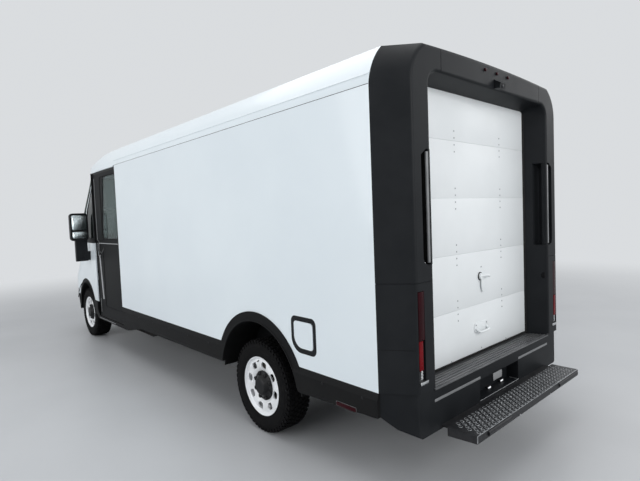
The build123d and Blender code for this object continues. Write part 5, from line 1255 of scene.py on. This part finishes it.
settle("wiper_blades", blades, rubber, van)

# %% Parking sensors
sensors = bmesh.new()
for y in (-0.72, -0.27, 0.27, 0.72):
    spot, out = probe("bumper_front_lower", (nose_ray_x, y, 0.640), (-1, 0, 0))
    turned(sensors, [(0.0, -0.0010), (0.0125, -0.0010), (0.0125, -0.0002), (0.0105, 0.0008), (0.0, 0.0011)],
           spot - out * 0.0012, out, 24)
settle("parking_sensors", sensors, gloss_black, van)
print("front fittings ready; wipers parked on the screen")

# %% [markdown]
# ## The driver's seat
# A seat cushion is foam under a sewn cover: it crowns in the middle, pulls in at its seams and has
# welted edges. The foam starts as a smaller block with the seat's outline, is remeshed into even
# quads, then swells as Cloth under pressure, which rounds it as real padding does. Channels are
# pressed in afterwards, and a welt and stitches follow the seams.

# %% Swell a block of foam
foam_voxel = 0.006
channel_width = 0.007


def foam(name, outline, low, high, mat, limit=0.014, channels=()):
    """Padded piece from an outline in x and z, swollen as cloth and then sewn in."""
    shape = bmesh.new()
    prism(shape, outline, "y", low, high, 0.018, 3)
    bmesh.ops.recalc_face_normals(shape, faces=shape.faces)
    mesh = bpy.data.meshes.new(name)
    shape.to_mesh(mesh)
    shape.free()
    pad = add_object(name, mesh)
    even = pad.modifiers.new("even", "REMESH")
    even.mode, even.voxel_size = "VOXEL", foam_voxel
    mesh = baked(pad)
    pad.modifiers.remove(even)
    pad.data = mesh
    start = [v.co.copy() for v in mesh.vertices]
    mesh = swell(pad)
    points = []
    for v, first in zip(mesh.vertices, start):
        move = v.co - first
        points.append(first + move.normalized() * min(move.length, limit)
                      if move.length > 1e-9 else first)
    normals = [v.normal.copy() for v in mesh.vertices]
    for i, (point, normal) in enumerate(zip(points, normals)):
        dip = sum(depth * math.exp(-((point - Vector(spot)).dot(Vector(across)) / channel_width) ** 2)
                  for spot, across, depth in channels)
        mesh.vertices[i].co = point - normal * dip
    pad.data = mesh
    mesh.materials.clear()
    mesh.materials.append(mat)
    mesh.shade_smooth()
    smooth = pad.modifiers.new("smooth", "SUBSURF")
    smooth.levels = smooth.render_levels = 1
    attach(pad, van)
    return pad


def swell(pad):
    """Mesh of a pad after 20 frames of Cloth under pressure, without gravity."""
    cloth = pad.modifiers.new("cloth", "CLOTH")
    cloth.settings.quality = 4
    cloth.settings.use_pressure = True
    cloth.settings.uniform_pressure_force = 4.0
    cloth.settings.effector_weights.gravity = 0.0
    scene = bpy.context.scene
    for k in range(1, 21):
        scene.frame_set(k)
    mesh = baked(pad)
    pad.modifiers.remove(cloth)
    scene.frame_set(1)
    return mesh


# %% Cushion, back and headrest
seat_x, seat_y, seat_z = 1.755, 0.450, 1.010


def at_seat(points):
    return [(seat_x + x, seat_z + z) for x, z in points]


cushion_line = at_seat([(-0.238, -0.130), (0.215, -0.130), (0.238, -0.105), (0.236, -0.045),
                        (0.205, -0.022), (-0.165, -0.034), (-0.205, -0.075)])
back_line = at_seat([(-0.178, 0.000), (-0.232, 0.230), (-0.292, 0.535), (-0.325, 0.553), (-0.358, 0.530),
                     (-0.300, 0.230), (-0.250, -0.010), (-0.215, -0.030)])
head_line = at_seat([(-0.318, 0.612), (-0.322, 0.742), (-0.350, 0.772), (-0.382, 0.748), (-0.374, 0.612)])
slope = Vector((-0.114, 0, 0.535)).normalized()
cushion = foam("seat_cushion", cushion_line, seat_y - 0.226, seat_y + 0.226, seat_cloth, channels=[
    ((seat_x + 0.120, seat_y, seat_z), (1, 0, 0), 0.005),
    ((seat_x - 0.010, seat_y, seat_z), (1, 0, 0), 0.005),
    ((seat_x, seat_y - 0.150, seat_z), (0, 1, 0), 0.006),
    ((seat_x, seat_y + 0.150, seat_z), (0, 1, 0), 0.006)])
back = foam("seat_back", back_line, seat_y - 0.222, seat_y + 0.222, seat_cloth, channels=[
    ((seat_x - 0.200, seat_y, seat_z + 0.130), slope, 0.005),
    ((seat_x - 0.230, seat_y, seat_z + 0.270), slope, 0.005),
    ((seat_x - 0.260, seat_y, seat_z + 0.410), slope, 0.005),
    ((seat_x, seat_y - 0.145, seat_z), (0, 1, 0), 0.006),
    ((seat_x, seat_y + 0.145, seat_z), (0, 1, 0), 0.006)])
headrest = foam("seat_headrest", head_line, seat_y - 0.116, seat_y + 0.116, seat_cloth, 0.010)
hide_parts("driver_seat")
print("seat cushions:", [len(o.data.vertices) for o in (cushion, back, headrest)])

# %% Welts and stitches
stitches = new_tree("stitches_on_path", [("Pitch", "Float", 0.009), ("Length", "Float", 0.006),
                                         ("Thick", "Float", 0.0008)])
curve = step(stitches, "GeometryNodeMeshToCurve", {"Mesh": asks(stitches, "Geometry")})
evenly = step(stitches, "GeometryNodeResampleCurve", {"Curve": curve, "Length": asks(stitches, "Pitch")},
              mode="LENGTH")
along = step(stitches, "GeometryNodeInputTangent")
aligned = step(stitches, "FunctionNodeAlignRotationToVector", {"Vector": along}, axis="Z")
thread = step(stitches, "GeometryNodeMeshCylinder", {"Vertices": 5, "Radius": asks(stitches, "Thick"),
                                                    "Depth": asks(stitches, "Length")})
close_tree(stitches, step(stitches, "GeometryNodeInstanceOnPoints", {"Points": evenly, "Instance": thread,
                                                                    "Rotation": aligned}))


def on_pad(pad, point, lift):
    """Nearest point of a pad, lifted off its cover."""
    _, spot, normal, _ = pad.closest_point_on_mesh(Vector(point))
    return spot + normal * lift


def stitched(name, path, body, thick=0.0008):
    """Row of stitches along a closed path."""
    base = bpy.data.meshes.new("path")
    base.from_pydata(path, [(i, (i + 1) % len(path)) for i in range(len(path))], [])
    mesh = evaluate(stitches, stitch_thread, {"Pitch": 0.009, "Length": 0.006, "Thick": thick}, base)
    return settle(name, mesh, stitch_thread, body, 50)


welts = bmesh.new()
for label, pad, line, half in (("cushion", cushion, cushion_line, 0.222), ("back", back, back_line, 0.218),
                               ("headrest", headrest, head_line, 0.112)):
    middle = sum((Vector((x, 0, z)) for x, z in line), Vector()) / len(line)
    for side in (-1, 1):
        loop = [Vector((x, seat_y + side * half, z)) for x, z in line]
        path = []
        for a, b in zip(loop, loop[1:] + loop[:1]):
            path += [a.lerp(b, k / 6) for k in range(6)]
        wide = [middle + (Vector((p.x, 0, p.z)) - middle) * 1.05 + Vector((0, p.y, 0)) for p in path]
        tube(welts, [on_pad(pad, p, 0.0008) for p in wide], 0.0034, 6, closed=True)
        inner = [Vector((p.x, seat_y + (p.y - seat_y) * 0.93, p.z)) for p in wide]
        stitched(f"seat_stitches_{label}_{'left' if side > 0 else 'right'}",
                 [on_pad(pad, p, 0.0012) for p in inner], van)
settle("seat_welts", welts, seat_side, van)

# %% Seat base, headrest posts and belt
base = bmesh.new()
slab(base, (seat_x - 0.195, seat_y - 0.200, 0.641), (seat_x + 0.195, seat_y + 0.200, 0.668), 0.008)
slab(base, (seat_x - 0.190, seat_y - 0.195, 0.835), (seat_x + 0.195, seat_y + 0.195, 0.873), 0.010)
for k in range(7):
    grow = 0.010 if k % 2 else 0.0
    z = 0.668 + 0.024 * k
    slab(base, (seat_x - 0.165 - grow, seat_y - 0.172 - grow, z),
         (seat_x + 0.165 + grow, seat_y + 0.172 + grow, z + 0.024), 0.006)
for side in (-1, 1):
    y = seat_y + side * 0.2335
    prism(base, at_seat([(-0.250, -0.145), (0.150, -0.145), (0.165, -0.110), (-0.150, -0.075),
                         (-0.215, -0.020), (-0.268, -0.030)]),
          "y", min(y, y - side * 0.012), max(y, y - side * 0.012), 0.004)
    turned(base, [(0.0, 0.0), (0.027, 0.0), (0.027, 0.004), (0.022, 0.0062), (0.0, 0.0064)],
           (seat_x - 0.222, y, seat_z - 0.075), (0, side, 0), 24)
settle("seat_base", base, dash_plastic, van)
posts = bmesh.new()
for side in (-1, 1):
    tube(posts, [(seat_x - 0.325, seat_y + side * 0.055, seat_z + 0.530),
                 (seat_x - 0.348, seat_y + side * 0.055, seat_z + 0.640)], 0.0060, 10)
settle("headrest_posts", posts, bright_alloy, van)
belt = bmesh.new()
bar(belt, (1.131, 0.800, 1.90), (1.131, 0.800, 0.72), 0.047, 0.0016, (1, 0, 0))
bar(belt, (1.131, 0.800, 1.90), (seat_x - 0.300, 0.715, 1.000), 0.047, 0.0016, (1, 0.2, 0.3))
settle("seat_belt", belt, webbing, van)
buckle = bmesh.new()
slab(buckle, (1.124, 0.768, 1.870), (1.140, 0.832, 1.930), 0.006)
slab(buckle, (1.124, 0.765, 0.690), (1.170, 0.835, 0.760), 0.008)
slab(buckle, (seat_x - 0.155, seat_y - 0.262, seat_z - 0.060),
     (seat_x - 0.100, seat_y - 0.240, seat_z + 0.030), 0.005)
settle("seat_belt_fittings", buckle, cap_plastic, van)
print("seat fittings ready")

# %% [markdown]
# ## Dashboard and pedals
# The dashboard has air vents with thin louvres, a glossy screen, an instrument panel under its hood
# and rows of switches. The steering column and two pedals complete the driver's place. Louvres repeat,
# so they come from the tree that sets out blocks in rows.

# %% Vents, screens and switches
vents = []
for y in (-0.90, -0.12, 0.93):
    vents.append({"First": (2.6545, y, 1.262), "Step": (0.0085, 0, 0.0130), "Count": 6,
                  "Turn": (0, math.radians(-35), 0), "Size": (0.014, 0.150, 0.0022)})
grown("dash_vent_louvres", blocks, cap_plastic, vents, van)
screens = bmesh.new()
prism(screens, rounded(0.236, 0.166, 0.010, 4, (0.105, 1.382)), "x", 2.6895, 2.6938, 0.001)
prism(screens, rounded(0.300, 0.105, 0.012, 4, (0.450, 1.398)), "x", 2.7315, 2.7370, 0.001)
settle("dash_screens", screens, black_lens, van)
switches = [{"First": (2.6625, -0.005, 1.288), "Step": (0, 0.034, 0), "Count": 7, "Turn": (0, 0, 0),
             "Size": (0.010, 0.026, 0.013)},
            {"First": (2.6440, 0.640, 1.235), "Step": (0, 0.036, 0), "Count": 4,
             "Size": (0.010, 0.028, 0.020)}]
grown("dash_switches", blocks, gloss_black, switches, van)
column = bmesh.new()
turned(column, [(0.0, 0.0), (0.036, 0.0), (0.044, 0.020), (0.050, 0.110), (0.046, 0.210), (0.0, 0.212)],
       (2.484, 0.450, 1.3045), (0.866, 0, -0.5), 28)
for side in (-1, 1):
    tube(column, [(2.520, 0.450 + side * 0.040, 1.288), (2.500, 0.450 + side * 0.105, 1.300),
                  (2.494, 0.450 + side * 0.155, 1.306)], [0.007, 0.006, 0.008], 10)
settle("steering_column", column, dash_plastic, van)
pedals = bmesh.new()
for y, wide, foot in ((0.370, 0.080, 0.775), (0.520, 0.050, 0.740)):
    slab(pedals, (2.872, y - wide / 2, foot), (2.884, y + wide / 2, foot + 0.075), 0.005)
    tube(pedals, curve_through([(2.884, y, foot + 0.045), (2.930, y, foot + 0.110),
                                (2.955, y, foot + 0.245)], 5), 0.0075, 8)
settle("pedals", pedals, cap_plastic, van)

# %% Stitches round the steering wheel
wheel_middle, wheel_up = Vector((2.44, seat_y, 1.33)), Vector((0.5, 0, 0.866))
loop = [wheel_middle + 0.168 * (math.cos(a) * Vector((0, 1, 0)) + math.sin(a) * wheel_up)
        for a in (math.tau * k / 72 for k in range(72))]
stitched("steering_wheel_stitches", loop, "steering_wheel", 0.0011)
print("dashboard dressed")

# %% [markdown]
# ## Under the floor
# Below the floor hangs the drive battery in its alloy case, bolted along both flanges, with stiffening
# ribs under it. The frame's rails carry rows of bolts, U-bolts hold the axle to its leaf springs, and
# coil springs stand over the front arms. Bolts and ribs are repeats; the coils follow a spiral curve.

# %% Battery bolts and ribs
battery_low, battery_high = span("battery")
bolts = []
for side in (-1, 1):
    bolts.append({"First": (battery_low.x + 0.060, side * (battery_high.y - 0.009), 0.3425),
                  "Step": (0.1638, 0, 0), "Count": 20, "Turn": facing["-z"], "Radius": 0.0075,
                  "Height": 0.0045, "Sides": 6, "Top": 0.9})
grown("battery_bolts", heads, screw_zinc, bolts, van)
grown("battery_ribs", blocks, battery_alloy, [
    {"First": (-1.10, 0.0, 0.2245), "Step": (0.2560, 0, 0), "Count": 12, "Size": (0.030, 1.380, 0.0050)},
    {"First": (0.29, -0.36, 0.2250), "Step": (0, 0.36, 0), "Count": 3, "Size": (3.05, 0.022, 0.0050)}],
    van)

# %% Frame bolts
frame_bolts = []
for side, face in ((1, "+y"), (-1, "-y")):
    frame_bolts.append({"First": (-3.05, side * 0.4515, 0.490), "Step": (0.250, 0, 0), "Count": 25,
                        "Row step": (0, 0, 0.060), "Rows": 2, "Turn": facing[face], "Radius": 0.0090,
                        "Height": 0.005, "Sides": 6, "Top": 0.9})
grown("frame_bolts", heads, chassis_black, frame_bolts, van)

# %% U-bolts on the leaf springs and fins on the drive unit
clamps = bmesh.new()
for side in (-1, 1):
    for x in (axle_x - 0.060, axle_x + 0.060):
        path = [(x, side * 0.548, 0.480), (x, side * 0.548, 0.300), (x, side * 0.556, 0.282),
                (x, side * 0.590, 0.276), (x, side * 0.624, 0.282), (x, side * 0.632, 0.300),
                (x, side * 0.632, 0.480)]
        tube(clamps, curve_through(path, 3), 0.0065, 8)
settle("axle_clamps", clamps, chassis_black, van)
fins = bmesh.new()
for k in range(11):
    y = -0.195 + 0.039 * k
    turned(fins, [(0.146, 0.0), (0.1565, 0.001), (0.1575, 0.0035), (0.1565, 0.006), (0.146, 0.007)],
           (axle_x, y, axle_z), (0, 1, 0), 48)
settle("drive_unit_fins", fins, battery_alloy, van, 40)

# %% Front coil springs
coils = new_tree("coil_spring", [("Turns", "Float", 5.0), ("Radius", "Float", 0.050),
                                 ("Height", "Float", 0.17), ("Wire", "Float", 0.007),
                                 ("Foot", "Vector", (0, 0, 0))])
spiral = step(coils, "GeometryNodeCurveSpiral", {"Resolution": 20, "Rotations": asks(coils, "Turns"),
                                                 "Start Radius": asks(coils, "Radius"),
                                                 "End Radius": asks(coils, "Radius"),
                                                 "Height": asks(coils, "Height")})
wire = step(coils, "GeometryNodeCurvePrimitiveCircle", {"Resolution": 8, "Radius": asks(coils, "Wire")},
            mode="RADIUS")
spring = step(coils, "GeometryNodeCurveToMesh", {"Curve": spiral, "Profile Curve": wire, "Fill Caps": True})
close_tree(coils, step(coils, "GeometryNodeTransform", {"Geometry": spring,
                                                        "Translation": asks(coils, "Foot")}))
grown("front_coil_springs", coils, chassis_black, [
    {"Foot": (steer_x, side * 0.545, 0.400)} for side in (-1, 1)], van, 60)
print("underside fitted")

# %% [markdown]
# ## Roof and cargo room
# Rows of rivets fix the roof skin to its rails. Inside, two plain load rails run along each wall.
# The rivets are repeats of one small head, tilted to follow the roof where a ray meets it.

# %% Roof rivets and wall rails
roof_rows = []
for side in (-1, 1):
    y = side * 0.86
    spot, out = probe("cargo_roof", (0, y, 4), (0, 0, -1))
    roof_rows.append({"First": (-3.10, y, spot.z + 0.0006), "Step": (0.124, 0, 0), "Count": 34,
                      "Turn": (math.atan2(-out.y, out.z), 0, 0), "Radius": 0.0055, "Height": 0.0020,
                      "Sides": 8, "Top": 0.5})
grown("roof_rivets", heads, white_paint, roof_rows, van)
rails = bmesh.new()
for side in (-1, 1):
    for z in (1.05, 1.65):
        slab(rails, (-3.00, side * 1.035, z), (1.02, side * 1.0415, z + 0.085), 0.002)
settle("cargo_wall_rails", rails, sill_alloy, van)
print("roof rivets:", sum(r["Count"] for r in roof_rows))

# %% [markdown]
# ## Studio and camera
# The van stands on a plain pale floor. Seen from the camera, the floor fades into the backdrop's
# colour with distance, so no horizon line crosses the van, while near the wheels it keeps the
# shadow. The backdrop is the world's colour for camera, mirror and glass rays; the light itself
# comes from a dim world and four large soft lamps.

# %% Floor and backdrop
backdrop_colour = (0.70, 0.72, 0.74, 1)


def seen_directly(tree):
    """1 for rays from the camera, off a shiny surface or through glass."""
    path = tree.nodes.new("ShaderNodeLightPath")
    total = path.outputs["Is Camera Ray"]
    for label in ("Is Glossy Ray", "Is Transmission Ray"):
        more = tree.nodes.new("ShaderNodeMath")
        more.operation = "MAXIMUM"
        tree.links.new(total, more.inputs[0])
        tree.links.new(path.outputs[label], more.inputs[1])
        total = more.outputs["Value"]
    return total


sheet = bpy.data.meshes.new("studio_floor")
sheet.from_pydata([(-60, -60, 0), (60, -60, 0), (60, 60, 0), (-60, 60, 0)], [], [(0, 1, 2, 3)])
studio = add_object("studio_floor", sheet)
backdrop = finish("studio_backdrop", (0.50, 0.512, 0.525), (0.47, 0.482, 0.495), 0.42, 0.04, 0.7, 0.02, 40)

# %% Fade the floor into the backdrop
fade_start, fade_end = 4.5, 13.0
tree = backdrop.node_tree
place = node_of(tree, "ShaderNodeTexCoord")
far = tree.nodes.new("ShaderNodeVectorMath")
far.operation = "LENGTH"
tree.links.new(place.outputs["Object"], far.inputs[0])
fade = tree.nodes.new("ShaderNodeMapRange")
fade.interpolation_type = "SMOOTHSTEP"
fade.inputs["From Min"].default_value = fade_start
fade.inputs["From Max"].default_value = fade_end
tree.links.new(far.outputs["Value"], fade.inputs["Value"])
amount = tree.nodes.new("ShaderNodeMath")
amount.operation = "MULTIPLY"
tree.links.new(fade.outputs["Result"], amount.inputs[0])
tree.links.new(seen_directly(tree), amount.inputs[1])
haze = tree.nodes.new("ShaderNodeEmission")
haze.inputs["Color"].default_value = backdrop_colour
blend = tree.nodes.new("ShaderNodeMixShader")
tree.links.new(amount.outputs["Value"], blend.inputs["Fac"])
tree.links.new(shader_of(backdrop).outputs["BSDF"], blend.inputs[1])
tree.links.new(haze.outputs["Emission"], blend.inputs[2])
tree.links.new(blend.outputs["Shader"], tree.nodes["Material Output"].inputs["Surface"])
studio.data.materials.append(backdrop)
print("floor fades between", fade_start, "and", fade_end, "m")

# %% World
world = bpy.data.worlds.new("studio_world")
bpy.context.scene.world = world
world.use_nodes = True
tree = world.node_tree
soft = tree.nodes["Background"]
soft.inputs["Color"].default_value = (0.92, 0.95, 1.0, 1)
soft.inputs["Strength"].default_value = 0.40
seen = tree.nodes.new("ShaderNodeBackground")
seen.inputs["Color"].default_value = backdrop_colour
mix = tree.nodes.new("ShaderNodeMixShader")
tree.links.new(seen_directly(tree), mix.inputs["Fac"])
tree.links.new(soft.outputs["Background"], mix.inputs[1])
tree.links.new(seen.outputs["Background"], mix.inputs[2])
tree.links.new(mix.outputs["Shader"], tree.nodes["World Output"].inputs["Surface"])

# %% Lamps
def soft_lamp(name, place, target, size, power):
    data = bpy.data.lights.new(name, "AREA")
    data.shape = "RECTANGLE"
    data.size, data.size_y = size
    data.energy = power
    lamp = bpy.data.objects.new(name, data)
    bpy.context.scene.collection.objects.link(lamp)
    lamp.location = place
    lamp.rotation_euler = (Vector(target) - Vector(place)).to_track_quat("-Z", "Y").to_euler()
    return lamp


soft_lamp("overhead", (-0.5, 1.0, 8.0), (-0.5, 0, 1.0), (11, 7), 300)
soft_lamp("left_side", (-0.5, 9.0, 3.4), (-0.5, 0, 0.9), (10, 4), 350)
soft_lamp("behind", (-10.5, 0.5, 4.0), (-3.0, 0, 1.4), (5, 4), 330)
soft_lamp("right_fill", (-4.0, -8.0, 5.0), (0, 0, 1.2), (8, 4), 150)

# %% Camera
view = bpy.data.cameras.new("camera")
view.lens = 25.99
view.sensor_width = 36.0
camera = bpy.data.objects.new("camera", view)
bpy.context.scene.collection.objects.link(camera)
yaw, pitch, roll = -0.7316421, -0.0522391, -0.0391697      # radians
ahead = Vector((math.cos(yaw) * math.cos(pitch), math.sin(yaw) * math.cos(pitch), math.sin(pitch)))
right = Vector((math.sin(yaw), -math.cos(yaw), 0))
up = right.cross(ahead)
right, up = (math.cos(roll) * right + math.sin(roll) * up, math.cos(roll) * up - math.sin(roll) * right)
turn = Matrix((right, up, -ahead)).transposed()
camera.matrix_world = Matrix.Translation((-4.9996, 3.1326, 1.7089)) @ turn.to_4x4()
bpy.context.scene.camera = camera
bpy.context.scene.view_settings.view_transform = "Standard"
